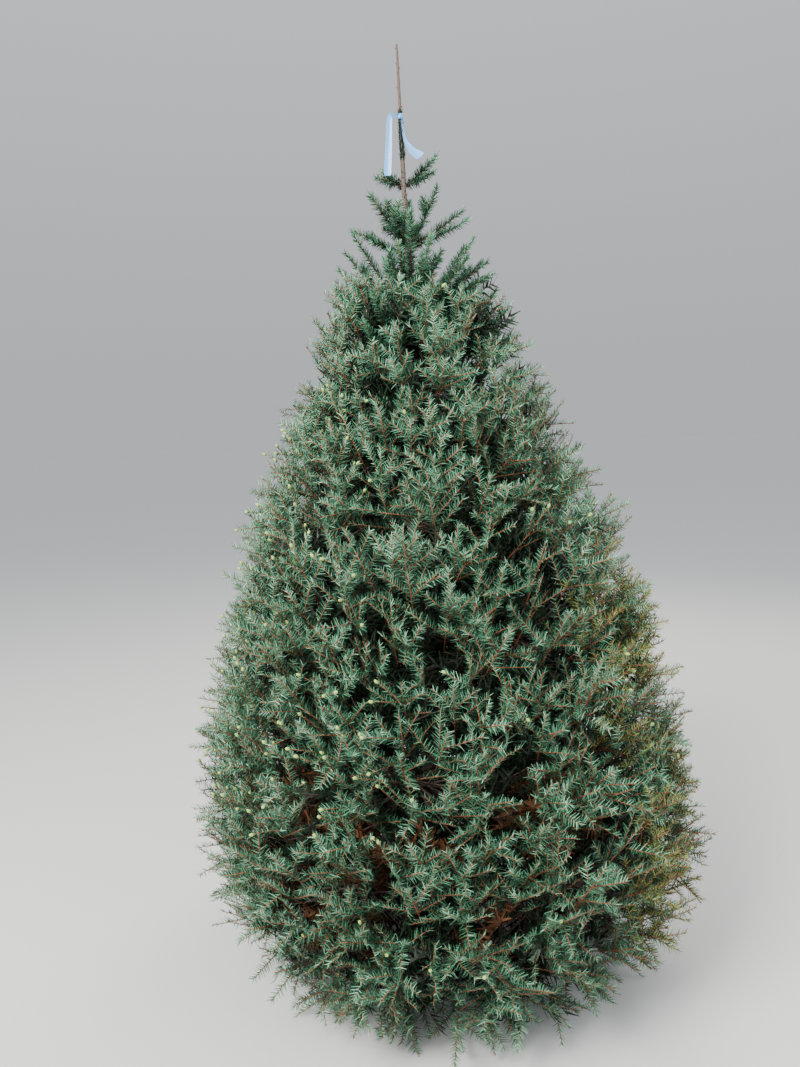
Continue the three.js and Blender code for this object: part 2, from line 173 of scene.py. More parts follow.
# Sprays that only grow here. They are dealt out as far as the neighbouring masses, closer
# together towards the sides and limits, and wander from the heading of the solids' sprays
FREE_SPAN = 0.56
FREE_CROWDING = (0.7, 0.8)
FREE_ROLL = math.radians(75)
FREE_WANDER = math.radians(11)
FREE_STEP_IN = 10.0
FREE_SCATTER = 0.045
WEST_FULLER = (30.0, 950.0, 330.0)  # towards -X: how much, at what height and over what height
FREE_STRAY = 1.5  # how far their bearing wanders against their rise
STALK_FROM = (0.48, 0.84)  # where their twigs leave the stem, as a share of the way out
SOLID_STALK_FROM = 0.8  # the same for the solids' sprays
OUTER_LENGTH = 0.86

# Sprays of old needles behind the face of each mass: how many by tier, how deep in the crown,
# how long, and the length, width and number of their needles against those of other sprays
INNER_SPRAYS = (31, 40, 35, 37, 31, 31, 0, 0)
INNER_DEPTH = (0.07, 0.42)
INNER_LENGTH = 1.1
INNER_NEEDLE = 1.9
INNER_WIDTH = 3.1
INNER_CROWD = 0.31

# From this tier up a spray is one long shoot that starts on the trunk, with few side shoots. So is
# a share of the outer sprays of lower tiers whose tips stand above this height
PLUME_TIER = 7
PLUME_ABOVE = 1850.0
PLUME_SHARE = 0.5
PLUME_RISE = math.radians(18)  # at least, from its whorl to its tip
WHORLS = (1700.0, 1890.0, 2094.0, 2276.0)
WHORL_SCATTER = 12.0
PLUME_ROOT = 0.7  # where it starts in the trunk, as a share of its radius
PLUME_ROLL = 0.5  # how much of the spray's own roll it keeps
PLUME_NEEDLE = 1.08
PLUME_CROWD = 3.6

# Side shoots of a spray, in pairs: place along the axis, length as a share of the spray's, angle
# in degrees and how often they grow
PAIRS = ((0.30, 0.52, 48, 0.93), (0.58, 0.44, 42, 0.93))
PLUME_PAIRS = ((0.3, 0.4, 40, 0.35), (0.55, 0.3, 36, 0.2))
# Shoots that stand out of the fan: the same, with the angle from the fan
STANDING = ((0.44, 0.48, 46, 0.75), (0.66, 0.38, -42, 0.6))
ARCH = 0.06  # rise of the axis, as a share of its length
SHOOT_VARIES = 0.2  # share of a side shoot's length
SHOOT_TAPER = 0.6  # thickness at the tip as a share of that at the root
MAIN_STEM = 1.2  # thickness of the axis against that of a side shoot
SHOOT_RINGS = (4, 2)  # of the axis and of a side shoot

# Needles
NEEDLE_TIP = 0.25  # width of the tip as a share of the root's
NEEDLES_LEAST = 6  # on the shortest shoot
NEEDLE_VARIES = 0.14  # share of its length
NEEDLE_BOW = 0.06  # rise of the tip, as a share of the length
# Share of a shoot's needles that stand closer to its upper side than each angle in degrees
NEEDLE_SPREAD = ((0, 0.18, 0.43, 0.88, 1), (0, 45, 70, 100, 138))
PLUME_SPREAD = ((0, 1), (0, 160))
# Angle of a needle from its shoot, how much less it is at the tip, how much less on the upper side,
# and its chance share, in degrees
NEEDLE_LEAN = (66, 27, 14, 6)
NEEDLE_TURN = math.radians(50)  # of a needle's flat side from the plane of its shoot
# The axis of a spray: share of its length that is bare, and how crowded the rest is
AXIS_BARE = 0.28
AXIS_CROWD = 0.7
SHOOT_BARE = 0.03

# Tints of the needles, from the inside outwards, and the tones from 0 to 1 at which an outer
# needle passes from one of the middle five to the next
# The near-black inner tint is painted shade deep in the crown, and painted_sun is painted sunlight
TINTS = ("inner", "dead", "deep", "forest", "middle", "blue", "pale", "painted_sun")
TINT_STEPS = (0.38, 0.52, 0.665, 0.80)
# What makes a needle paler: its place from the root to the tip of its spray (painted shade towards
# the root, partly old shade needles, and painted light at the tip), the tip of its shoot, every
# second pair (painted highlight on one pair, painted shade on the next), and chance for each
# needle, spray and shoot
PAINTED_LIGHT_OUT = 0.3
TONE_TIP = 0.1
PAINTED_HIGHLIGHT_PAIR = 0.3
TONE_NEEDLE = 0.15
TONE_SPRAY = 0.05
TONE_SHOOT = 0.2
# What is added for a spray's place on the tree, and for a plume
# Painted light: sprays on the west side, towards the soft light, are paler
PAINTED_LIGHT_WEST = 0.04
TONE_WEST_OF = -300.0
TONE_HIGH = 0.06
TONE_HIGH_ABOVE = 1600.0
TONE_LOW = -0.03
TONE_LOW_BELOW = 600.0
TONE_PLUME = -0.13
# Yellow-olive painted sunlight on needles low on the east side, and rusty dead needles low inside
PAINTED_SUN_EAST = 330.0
PAINTED_SUN_BELOW = 1100.0
PAINTED_SUN_SPRAYS = 0.62  # share of the sprays there
PAINTED_SUN_NEEDLES = 0.7  # share of their paler needles
DEAD_BELOW = 620.0
DEAD_SPRAYS = 0.3  # share of the inner sprays there

# Needles on the trunk: from, to, how many to a millimetre, length and angle in degrees
TRUNK_NEEDLES = (
    (1750, 2250, 0.3, 12, 50),
    (2250, 2314, 0.35, 9, 40),
    (2343, 2478, 3.0, 12, 24),
)

# Buds: radius, length, sides, and stations along them with the share of the radius at each
BUD = (2.2, 6.0, 3, (-0.15, 0.4, 1.0), (0.5, 1.0, 0.15))
FRESH_TIP = (4.7, 11.5, 5, (-0.15, 0.3, 0.75, 1.0), (0.45, 1.0, 0.8, 0.2))
BUD_SHARE = 0.45  # of the outer shoots
# Fresh tips grow on this share of shoots west of and between these heights, and on few others
FRESH_WEST_OF = -150.0
FRESH_HEIGHTS = (600.0, 1700.0)
FRESH_SHARES = (0.17, 0.02)
LOWEST_BUD = 20.0
# Small buds on the bare leader: from, to and how far apart
LEADER_BUDS = (2490, 2655, 13)
LEADER_BUD_RISE = 0.9  # upwards for each part outwards
LEADER_BUD_SUNK = 1.0
LEADER_NEEDLE_SUNK = 0.6

# Ribbon
RIBBON_Z = 2465.0  # height of its knot
BAND_STANDOFF = 1.6
BAND_THICK = 3.6
BAND_DRAWN_OUT = 18 / 4.2  # its height against its thickness
CREASES = (260, 260, 22)  # to the metre
CREASE_HEIGHT = 1.0
TAIL_STANDOFF = 1.8
TAIL_GRID = 18.0
TAIL_ROWS = 26
TAIL_COLUMNS = 5
TAIL_SMOOTHED = 3  # times
TAIL_FLAT = 0.9  # width between its edges against its full width
TAIL_CURL = 0.5
TAIL_WAVE = 0.1
# Each tail has a bearing, a bearing that its flat side faces, both in degrees, and stations: how
# far out, how far down and how wide
TAILS = (
    (218, 268, ((0, 0, 9), (28, 1, 13), (33, 14, 18), (39, 90, 22), (47, 170, 24))),
    (315, 285, ((0, 0, 8), (2, 40, 7), (9, 70, 12), (36, 104, 26), (66, 126, 34))),
)

# Photograph: its height and focal length in pixels, and where the camera stood, in metres
PHOTO_ROWS = 1067
FOCAL_PX = 801.0
CAMERA_AT = (-0.085, -2.40, 1.55)
PITCH = math.radians(6.6)
ROLL_VIEW = math.radians(-2.2)
SENSOR = 36

# Studio, in metres and watts: lamps with their places, power, size and colour, where they aim,
# and the strength of the backdrop at the horizon and above it
FLOOR_SIZE = 400
FLOOR_COLOR = (0.70, 0.70, 0.69, 1)
LAMPS = (
    ("key", (-2.6, -3.2, 4.6), 620, 2.2, (1.0, 0.98, 0.95)),
    ("fill", (3.4, -2.4, 2.4), 90, 3.0, (0.92, 0.96, 1.0)),
    ("rim", (1.8, 3.4, 4.2), 150, 2.4, (1.0, 0.95, 0.86)),
)
LAMPS_AIM = (0, 0, 1.1)
BACKDROP_COLOR = (0.88, 0.91, 0.95, 1)
BACKDROP = (0.597, 0.9)
BACKDROP_RISE = 0.8  # sine of the angle at which the second strength is reached

# Speckle of bark, whose scale is given with each material
SCALES_FINER = 2.3  # than its patches
SPECKLE_SHARPNESS = 3.0
SPECKLE_HEIGHT = 2.0

MASK = 0xFFFFFFFF


# Chance


def chance(*keys):
    """A number from 0 to 1 that depends only on the seed and on whole numbers or arrays of them."""
    h = SEED
    for key in keys:
        h = ((h ^ key) * 0x9E3779B1) & MASK
        h = h ^ (h >> 15)
        h = (h * 0x85EBCA6B) & MASK
        h = h ^ (h >> 13)
    return h / 4294967296


def swing(*keys):
    """The same from -1 to 1."""
    return 2 * chance(*keys) - 1


def clamp(x, low, high):
    return max(low, min(high, x))


def lerp(a, b, t):
    return a + (b - a) * t


def unit(v):
    return v / np.maximum(np.linalg.norm(v, axis=-1, keepdims=True), 1e-9)


def turned(v, axis, angle):
    """Vectors v turned about unit axes, each by its own angle."""
    c, s = np.cos(angle), np.sin(angle)
    if np.ndim(angle):
        c, s = c[..., None], s[..., None]
    dot = (v * axis).sum(-1, keepdims=True)
    return v * c + np.cross(axis, v) * s + axis * dot * (1 - c)


# Growth rule, as in the solids


def axis_x(z):
    return -z * math.tan(LEAN)


def axis_point(z):
    """A point on the trunk's axis, or an array of them."""
    return np.stack([axis_x(z), 0 * z, z], -1)


def trunk_radius(z):
    return TIP_R + (TRUNK_R - TIP_R) * np.maximum(1 - z / HEIGHT, 0) ** TRUNK_TAPER


def crown_radius(z, bearing):
    above = clamp((z - CROWN_WIDEST) / (CROWN_TOP - CROWN_WIDEST), 0, 1)
    below = clamp((CROWN_WIDEST - z) / CROWN_WIDEST, 0, 1)
    cone = (1 - above**CROWN_ROUND) * (1 - CROWN_TUCK * below**3)
    lump = math.sin(3 * bearing + z / 140) + math.sin(5 * bearing - z / 90)
    side = 1 + CROWN_EAST * math.cos(bearing) + CROWN_LUMPS * lump / 2
    return max(CROWN_R * cone, TOP_REACH) * side


def fuller_west(z, bearing):
    """What the sprays that only grow here add to the crown's radius on its west side."""
    more, middle, spread = WEST_FULLER
    up = (z - middle) / spread
    return more * max(-math.cos(bearing), 0) * math.exp(-up * up)


def limit_height(limit, r):
    foot, climb, edge = limit
    return foot + climb * (max(r, 0) / edge) ** CURL


def spray_length(radius):
    return clamp(SPRAY_SHARE * radius + SPRAY_BASE, SPRAY_LEAST, SPRAY_MOST)


def core_reach(radius):
    return max(radius - (1 - SPRAY_SUNK) * spray_length(radius), STEM_LEAST * radius)


class Space:
    """The space of one mass of foliage, between two limits and two bearings."""

    def __init__(self, t, p):
        tier = TIERS[t]
        self.tier = t + 1
        self.key = 16 * (t + 1) + p
        self.label = f"{t + 1}_{p + 1}"
        self.low = tier[:3]
        self.high = TIERS[t + 1][:3] if t + 1 < len(TIERS) else TOP_LIMIT
        self.has_bough = tier.boughs
        self.all_plumes = self.tier >= PLUME_TIER
        self.solid_sprays = tier.sprays
        self.outer_sprays = round(tier.sprays * tier.more)
        step = math.radians(tier.angle) / tier.masses
        self.bearing = math.radians(tier.first) + p * step
        self.half = step / 2
        self.free_half = math.pi / tier.masses
        self.face = core_reach(self.reach(self.bearing, 0.5))
        self.trunk = trunk_radius(self.height(BOUGH_FROM, 0))
        self.tip = BOUGH_SHARE * self.face if self.has_bough else self.trunk
        self.inner = self.tip + (CORE_STANDOFF / 2 if self.has_bough else 2 * CLEAR)

    def height(self, v, r):
        """Height at a place between the limits, from 0 to 1, and a distance from the trunk."""
        return lerp(limit_height(self.low, r), limit_height(self.high, r), v)

    def place(self, bearing, v, r):
        z = self.height(v, r)
        return np.array([axis_x(z) + r * math.cos(bearing), r * math.sin(bearing), z])

    def reach(self, bearing, v):
        """How far out the crown's outline is, found by halving."""
        inner, outer = 0.0, 2 * CROWN_R
        for _ in range(24):
            r = (inner + outer) / 2
            if r < crown_radius(self.height(v, r), bearing):
                inner = r
            else:
                outer = r
        return inner

    def way_out(self, r):
        """A point on the bough and the stem that follows it."""
        along = clamp(r / max(self.tip, 1), 0, 1)
        v = lerp(BOUGH_FROM, BOUGH_TO, along**1.5 if self.has_bough else 1)
        return self.place(self.bearing, v, r)

    def holds(self, point):
        x = point[0] - axis_x(point[2])
        r = math.hypot(x, point[1])
        off = math.atan2(point[1], x) - self.bearing
        away = abs(math.atan2(math.sin(off), math.cos(off)))
        beside = r * math.sin(min(self.half - away, math.pi / 2)) if away < self.half else 0
        floor = max(limit_height(self.low, r) + CLEAR, LOWEST)
        roof = limit_height(self.high, r) - CLEAR
        return beside > CLEAR and r > self.inner and floor < point[2] < roof


@lru_cache(maxsize=None)
def spaces():
    return [Space(t, p) for t, tier in enumerate(TIERS) for p in range(tier.masses)]


def foliage_nodes():
    return [f"foliage_{space.label}" for space in spaces()]


def spray_plan(space, index, attempt, kind):
    """Where a spray starts, how it heads and how long it is. Sprays of the kind "solid" are those
    of the solids. The others only grow here: "outer" ones anywhere in the sector's face, and
    "inner" ones behind it."""
    free = kind != "solid"
    inward = (1 - TURN_IN) ** attempt
    across = inward * (2 * ((0.5 + index * SPREAD_U) % 1) - 1)
    up = inward * (2 * ((0.5 + index * SPREAD_V) % 1) - 1)
    widest = space.reach(space.bearing, 0.5)
    length = spray_length(widest) * (1 + SPRAY_VARIES * swing(space.key, index, 1))
    half = max(space.half - (TEETH[0][3] * length + CLEAR) / widest, 0)
    if free:
        half = space.free_half
        across, up = (
            math.copysign(abs(x) ** power, x) for x, power in zip((across, up), FREE_CROWDING)
        )
    bearing = space.bearing + across * half
    v = 0.5 + (FREE_SPAN if free else SOLID_SPAN) * up

    scatter = FREE_SCATTER if free else TIP_SCATTER
    radius = space.reach(bearing, v) * (1 - scatter * chance(space.key, index, 2))
    if kind == "inner":
        radius *= 1 - lerp(*INNER_DEPTH, chance(space.key, index, 7))
        length *= INNER_LENGTH
    if kind == "outer":
        length *= OUTER_LENGTH
    if free:
        radius += fuller_west(space.height(v, radius), bearing) - FREE_STEP_IN
    tip = space.place(bearing, v, radius)

    behind = space.height(v, radius - SLOPE_STEP)
    slope = math.atan2(space.height(v, radius) - behind, SLOPE_STEP)
    low = clamp(1 - tip[2] / DROOP_HEIGHT, 0, 1)
    rise = min(slope + LIFT, RISE_MOST) + FAN * up - DROOP * low
    rise += inward * JITTER * swing(space.key, index, 3)
    heading = bearing + inward * JITTER * (swing(space.key, index, 4) - across)
    if free:
        rise += FREE_WANDER * swing(space.key, index, 8)
        heading += FREE_STRAY * FREE_WANDER * swing(space.key, index, 10)
    flat = math.cos(rise)
    ahead = np.array([math.cos(heading) * flat, math.sin(heading) * flat, math.sin(rise)])

    base = tip - ahead * length
    base_radius = math.hypot(base[0] - axis_x(base[2]), base[1])
    back = lerp(*STALK_FROM, chance(space.key, index, 12)) if free else SOLID_STALK_FROM
    start = space.way_out(clamp(back * base_radius, space.tip + 2 * CLEAR, 0.96 * space.face))
    roll = FREE_ROLL if free else ROLL
    side = turned(unit(np.cross(UP, ahead)), ahead, inward * roll * swing(space.key, index, 5))
    top = np.cross(ahead, side)
    return dict(start=start, base=base, ahead=ahead, side=side, top=top, length=length)


def blade_points(plan):
    """The corners of the solid's toothed blade, which say whether a spray keeps to its space."""
    spots = [(TEETH[0][0], BODY_WIDTH, 0), (TEETH[0][0], -BODY_WIDTH, 0)]
    spots.append((TEETH[0][0], 0, BODY_HEIGHT))
    for _, to, tip, out in TEETH:
        width = BODY_WIDTH * (1.1 - 0.4 * to)
        spots += [(tip, out, 0), (tip, -out, 0), (to, width, 0), (to, -width, 0)]
        spots.append((to, 0, BODY_HEIGHT))
    spots.append((1, 0, 0))
    axes = np.array([plan["ahead"], plan["side"], plan["top"]]) * plan["length"]
    return plan["base"] + np.array(spots) @ axes


def plume(plan, jitter):
    """The spray as one long shoot from the highest whorl of the trunk that lies well below it."""
    tip = plan["base"] + plan["ahead"] * plan["length"]
    reach = math.hypot(tip[0] - axis_x(tip[2]), tip[1])
    most = tip[2] - reach * math.tan(PLUME_RISE)
    z = max((z for z in WHORLS if z < most), default=WHORLS[0]) + jitter
    ahead = unit(tip - axis_point(z))
    base = axis_point(z) + ahead * PLUME_ROOT * trunk_radius(z)
    side = unit(np.cross(UP, ahead) + PLUME_ROLL * plan["side"])
    side = unit(side - ahead * (side @ ahead))
    top = np.cross(ahead, side)
    length = np.linalg.norm(tip - base)
    return dict(start=base, base=base, ahead=ahead, side=side, top=top, length=length)


def is_plume(space, index, kind, plan):
    tip_z = plan["base"][2] + plan["ahead"][2] * plan["length"]
    high = kind == "outer" and tip_z > PLUME_ABOVE
    return space.all_plumes or (high and chance(space.key, index, 13) < PLUME_SHARE)


def spray(space, index):
    """One spray of a mass, or None where it would leave its space or reach the ground."""
    kind = "inner"
    if index < space.outer_sprays:
        kind = "solid" if index < space.solid_sprays else "outer"
    for attempt in range(TRIES if kind == "solid" else 1):
        plan = spray_plan(space, index, attempt, kind)
        points = blade_points(plan)
        clear = points[:, 2].min() > LOWEST if kind != "solid" else all(map(space.holds, points))
        if clear:
            long = is_plume(space, index, kind, plan)
            if long:
                plan = plume(plan, WHORL_SCATTER * swing(space.key, index, 11))
            marks = {"key": space.key, "index": index, "inner": kind == "inner", "plume": long}
            return {**plan, **marks}
    return None


@lru_cache(maxsize=None)
def sprays():
    """All sprays as arrays, with the space's key, the index and whether each is inner, a plume."""
    rows = []
    for space in spaces():
        for index in range(space.outer_sprays + INNER_SPRAYS[space.tier - 1]):
            row = spray(space, index)
            if row:
                rows.append(row)
    table = {name: np.array([row[name] for row in rows]) for name in rows[0]}
    return {**table, **{name: table[name].astype(np.uint64) for name in ("key", "index")}}


# Shoots


@lru_cache(maxsize=None)
def shoots():
    """All needled shoots as arrays. A shoot's point at t, from 0 at its root to 1 at its tip, is
    start + run * t + bend * t * t. Its order is 0 for a spray's axis and 1 for a side shoot."""
    s = sprays()
    n = len(s["length"])
    key, index, inner, plumes = s["key"], s["index"], s["inner"], s["plume"]
    ahead, side, top, length = s["ahead"], s["side"], s["top"], s["length"]
    arch = top * (ARCH * length * (1 + swing(key, index, 20)))[:, None]
    rows = []

    def add(t, away, above, share, order, tag, there):
        """One shoot on each spray that has it, from the place t on the spray's axis."""
        far = length * share * (1 + SHOOT_VARIES * swing(key, index, tag, 3)) if order else length
        start = s["base"] + ahead * (length * t)[:, None] + arch * (t * t)[:, None]
        bend = 0 * arch if order else arch
        rows.append(
            dict(
                start=start[there], run=(away * far[:, None])[there], bend=bend[there],
                above=above[there], length=far[there], order=np.full(there.sum(), order),
                spray=np.flatnonzero(there), tag=np.full(there.sum(), tag, dtype=np.uint64),
            )
        )

    add(np.zeros(n), ahead, top, 1, 0, 10, np.ones(n, bool))
    pairs = [(*pair, ~plumes) for pair in PAIRS] + [(*pair, plumes) for pair in PLUME_PAIRS]
    for k, (spot, share, angle, often, grown) in enumerate(pairs):
        for sign in (1, -1):
            tag = 30 + 4 * k + sign
            turn = sign * np.radians(angle + 10 * swing(key, index, tag, 1))
            away = turned(ahead, top, turn)
            across = np.cross(away, top)
            away = turned(away, across, np.radians(8 + 16 * swing(key, index, tag, 2)))
            above = unit(np.cross(across, away))
            there = (chance(key, index, tag, 4) < often) & grown
            add(spot + 0.06 * swing(key, index, tag), away, above, share, 1, tag, there)
    for k, (spot, share, angle, often) in enumerate(STANDING):
        tag = 60 + k
        away = turned(ahead, side, np.radians(-angle + 14 * swing(key, index, tag, 1)))
        away = turned(away, ahead, np.radians(50 * swing(key, index, tag, 2)))
        above = unit(np.cross(np.cross(away, top + 0.01 * side), away))
        there = (chance(key, index, tag, 4) < often) & ~inner & ~plumes
        add(spot + 0.08 * swing(key, index, tag), away, above, share, 1, tag, there)
    return {name: np.concatenate([row[name] for row in rows]) for name in rows[0]}


def shoot_points(shoot, t):
    """Points on shoots, given by their numbers, and the direction of the shoot there."""
    s = shoots()
    run, bend, t = s["run"][shoot], s["bend"][shoot], t[:, None]
    return s["start"][shoot] + run * t + bend * (t * t), unit(run + 2 * bend * t)


def near_tip(t):
    """From 0 to 1 over the last fifth of a shoot."""
    return np.clip((t - 0.8) / 0.2, 0, 1)


# Meshes from arrays


def mesh_piece(name, points, triangles, material, smooth=False):
    """A joined piece from arrays, with points in millimetres."""
    mesh = bpy.data.meshes.new(name)
    mesh.vertices.add(len(points))
    mesh.vertices.foreach_set("co", (np.asarray(points) * MM).astype(np.float32).ravel())
    mesh.loops.add(3 * len(triangles))
    mesh.loops.foreach_set("vertex_index", np.asarray(triangles, dtype=np.int32).ravel())
    mesh.polygons.add(len(triangles))
    mesh.polygons.foreach_set("loop_start", np.arange(len(triangles), dtype=np.int32) * 3)
    mesh.polygons.foreach_set("use_smooth", np.full(len(triangles), smooth))
    mesh.update(calc_edges=True)
    mesh.materials.append(material)
    piece = bpy.data.objects.new(name, mesh)
    bpy.context.collection.objects.link(piece)
    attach(piece, "root")
    return piece


def tubes(centres, radii, sides):
    """Tapering tubes through rows of centres, shaped (tubes, rings, 3), as points and triangles."""
    n, rings, _ = centres.shape
    ahead = np.empty_like(centres)
    ahead[:, 1:-1] = centres[:, 2:] - centres[:, :-2]
    ahead[:, 0] = centres[:, 1] - centres[:, 0]
    ahead[:, -1] = centres[:, -1] - centres[:, -2]
    ahead = unit(ahead)
    left = unit(np.cross(UP, ahead))
    above = np.cross(ahead, left)
    angle = 2 * np.pi * np.arange(sides) / sides
    ring = left[:, :, None] * np.cos(angle)[:, None] + above[:, :, None] * np.sin(angle)[:, None]
    points = centres[:, :, None] + ring * radii[:, :, None, None]
    k = np.arange(sides)
    a = (np.arange(rings - 1)[:, None] * sides + k).ravel()
    b = (np.arange(rings - 1)[:, None] * sides + (k + 1) % sides).ravel()
    walls = np.concatenate([np.stack([a, b, b + sides], 1), np.stack([a, b + sides, a + sides], 1)])
    last = (rings - 1) * sides
    fans = [[0, j + 1, j] for j in range(1, sides - 1)]
    fans += [[last, last + j, last + j + 1] for j in range(1, sides - 1)]
    one = np.concatenate([walls, np.array(fans)])
    every = one[None] + (np.arange(n) * rings * sides)[:, None, None]
    return points.reshape(-1, 3), every.reshape(-1, 3)


def blade_corners(root, away, wide, size, half, rise):
    """Corners of needles: full width at the root, tapering to a narrow tip that rises a little."""
    end = root + (away + rise) * size[:, None]
    start = root + wide * half[:, None], root - wide * half[:, None]
    twist = wide * (NEEDLE_TIP * half)[:, None]
    return np.stack([*start, end - twist, end + twist], 1)


def blades(points):
    """Needles as points and triangles, two triangles to each."""
    corners = np.array([[0, 1, 2], [0, 2, 3]])
    triangles = corners[None] + 4 * np.arange(len(points))[:, None, None]
    return points.reshape(-1, 3), triangles.reshape(-1, 3)


def joined(parts):
    """Several (points, triangles) as one."""
    points, triangles, n = [], [], 0
    for p, t in parts:
        points.append(p)
        triangles.append(t + n)
        n += len(p)
    return np.concatenate(points), np.concatenate(triangles)


# Materials


def new_material(name, roughness):
    material = bpy.data.materials.new(name)
    material.use_nodes = True
    shader = material.node_tree.nodes["Principled BSDF"]
    shader.inputs["Roughness"].default_value = roughness
    return material, shader


def shaded(color, factor):
    return tuple(factor * c for c in color)


def add_node(tree, kind, inputs=None, **settings):
    """A new shader node, with some of its inputs and settings given."""
    node = tree.nodes.new(f"ShaderNode{kind}")
    for name, value in settings.items():
        setattr(node, name, value)
    for name, value in (inputs or {}).items():
        node.inputs[name].default_value = value
    return node


def wire(tree, *links):
    """Link nodes. Each link is a node, the name of its output, another node and its input."""
    for node, output, other, entry in links:
        tree.links.new(node.outputs[output], other.inputs[entry])


def two_toned(tree, shader, dark, light, mask, height, bump, depth):
    """Mix two tones by a mask and raise a relief, both given as a node and its output."""
    tone = add_node(tree, "Mix", data_type="RGBA")
    tone.inputs["A"].default_value = (*dark, 1)
    tone.inputs["B"].default_value = (*light, 1)
    relief = add_node(tree, "Bump", {"Strength": bump, "Distance": depth * MM})
    wire(
        tree,
        (*mask, tone, "Factor"),
        (tone, "Result", shader, "Base Color"),
        (*height, relief, "Height"),
        (relief, "Normal", shader, "Normal"),
    )


def speckle_group():
    """Fine two-tone speckle for bark and twigs: puts out a mask and a height."""
    name = "bark_speckle"
    if name in bpy.data.node_groups:
        return bpy.data.node_groups[name]
    group = bpy.data.node_groups.new(name, "ShaderNodeTree")
    for socket, side in (("Scale", "IN"), ("Sharpness", "IN"), ("Mask", "OUT"), ("Height", "OUT")):
        group.interface.new_socket(socket, in_out=f"{side}PUT", socket_type="NodeSocketFloat")
    entry = group.nodes.new("NodeGroupInput")
    leave = group.nodes.new("NodeGroupOutput")
    place = add_node(group, "TexCoord")
    patches = add_node(group, "TexNoise", {"Detail": 6})
    scales = add_node(group, "TexVoronoi", feature="DISTANCE_TO_EDGE")
    finer = add_node(group, "Math", {1: SCALES_FINER}, operation="MULTIPLY")
    centred = add_node(group, "Math", {1: 0.5}, operation="SUBTRACT")
    steep = add_node(group, "Math", operation="MULTIPLY")
    shifted = add_node(group, "Math", {1: 0.5}, operation="ADD", use_clamp=True)
    wire(
        group,
        (place, "Object", patches, "Vector"),
        (place, "Object", scales, "Vector"),
        (entry, "Scale", patches, "Scale"),
        (entry, "Scale", finer, 0),
        (finer, 0, scales, "Scale"),
        (patches, "Fac", centred, 0),
        (centred, 0, steep, 0),
        (entry, "Sharpness", steep, 1),
        (steep, 0, shifted, 0),
        (shifted, 0, leave, "Mask"),
        (scales, "Distance", leave, "Height"),
    )
    return group


def bark_material(name, dark, light, scale, bump, roughness):
    """Two tones of bark mixed by the speckle, with its scales as relief."""
    material, shader = new_material(name, roughness)
    tree = material.node_tree
    inputs = {"Scale": scale, "Sharpness": SPECKLE_SHARPNESS}
    speckle = add_node(tree, "Group", inputs, node_tree=speckle_group())
    mask, height = (speckle, "Mask"), (speckle, "Height")
    two_toned(tree, shader, dark, light, mask, height, bump, SPECKLE_HEIGHT)
    return material


def needle_material(name, color):
    """One plain tint of needle with a waxy sheen."""
    material, shader = new_material(name, 0.42)
    shader.inputs["Base Color"].default_value = (*color, 1)
    shader.inputs["Specular IOR Level"].default_value = 0.4
    return material


# Settings


def length_property(name, description, default, low, high):
    return FloatProperty(
        name=name, description=description, default=default, min=low, max=high,
        subtype="DISTANCE", unit="LENGTH",
    )


def color_property(name, description, default):
    return FloatVectorProperty(
        name=name, description=description, default=default, size=3, min=0, max=1, subtype="COLOR",
    )


class SpruceSizes(bpy.types.PropertyGroup):
    needle_length: length_property(
        "Needle length", "Length of a needle in the middle of a shoot", 0.021, 0.005, 0.04
    )
    needle_width: length_property(
        "Needle width", "Width of a needle at its widest place", 0.0025, 0.0005, 0.005
    )
    needles_per_metre: IntProperty(
        name="Needles per metre", description="Needles along one metre of outer shoot",
        default=590, min=50, max=2500,
    )
    shoot_thickness: length_property(
        "Shoot thickness", "Thickness of a young shoot at its root", 0.0034, 0.001, 0.008
    )
    bark_relief: length_property("Bark relief", "Height of the bark's scales", 0.0022, 0.0, 0.01)
    ribbon_thickness: length_property(
        "Ribbon thickness", "Thickness of the ribbon's film", 0.0005, 0.0001, 0.002
    )


class SpruceColors(bpy.types.PropertyGroup):
    # Painted shade: old needles deep inside the crown are given a near-black green
    inner: color_property("Inner needles", "Old needles deep inside", (0.009, 0.024, 0.010))
    dead: color_property("Dead needles", "Rusty dead needles deep inside", (0.15, 0.060, 0.024))
    deep: color_property("Deep needles", "Darkest of the outer needles", (0.006, 0.024, 0.011))
    forest: color_property("Green needles", "Green outer needles", (0.024, 0.086, 0.040))
    middle: color_property("Middle needles", "Blue-green needles", (0.062, 0.192, 0.104))
    blue: color_property("Blue needles", "Paler blue-green needles", (0.127, 0.352, 0.207))
    pale: color_property("Pale needles", "Palest needles, towards the tips", (0.27, 0.55, 0.36))
    # Painted sunlight: this yellow-olive tint stands for warm light on the low east side
    painted_sun: color_property("Olive needles", "Yellowish, low on one side", (0.30, 0.34, 0.085))
    fresh: color_property("Fresh tips", "Swelling tips of new growth", (0.48, 0.60, 0.17))
    shoot: color_property("Young shoots", "Orange-brown bark", (0.37, 0.105, 0.042))
    twig: color_property("Twigs", "Grey-brown bark of older twigs", (0.050, 0.034, 0.025))
    bark: color_property("Bark", "Grey-brown bark of trunk and boughs", (0.085, 0.068, 0.055))
    leader: color_property("Leader", "Brown bark of the young leader", (0.13, 0.088, 0.066))
    ribbon: color_property("Ribbon", "Pale blue film of the ribbon", (0.18, 0.44, 0.84))


class SpruceSettings(bpy.types.PropertyGroup):
    sizes: PointerProperty(type=SpruceSizes)
    colors: PointerProperty(type=SpruceColors)


# Modelling helpers


def start_clean():
    """Nothing is selected and Blender is in object mode."""
    if bpy.context.object and bpy.context.object.mode != "OBJECT":
        bpy.ops.object.mode_set(mode="OBJECT")
    bpy.ops.object.select_all(action="DESELECT")


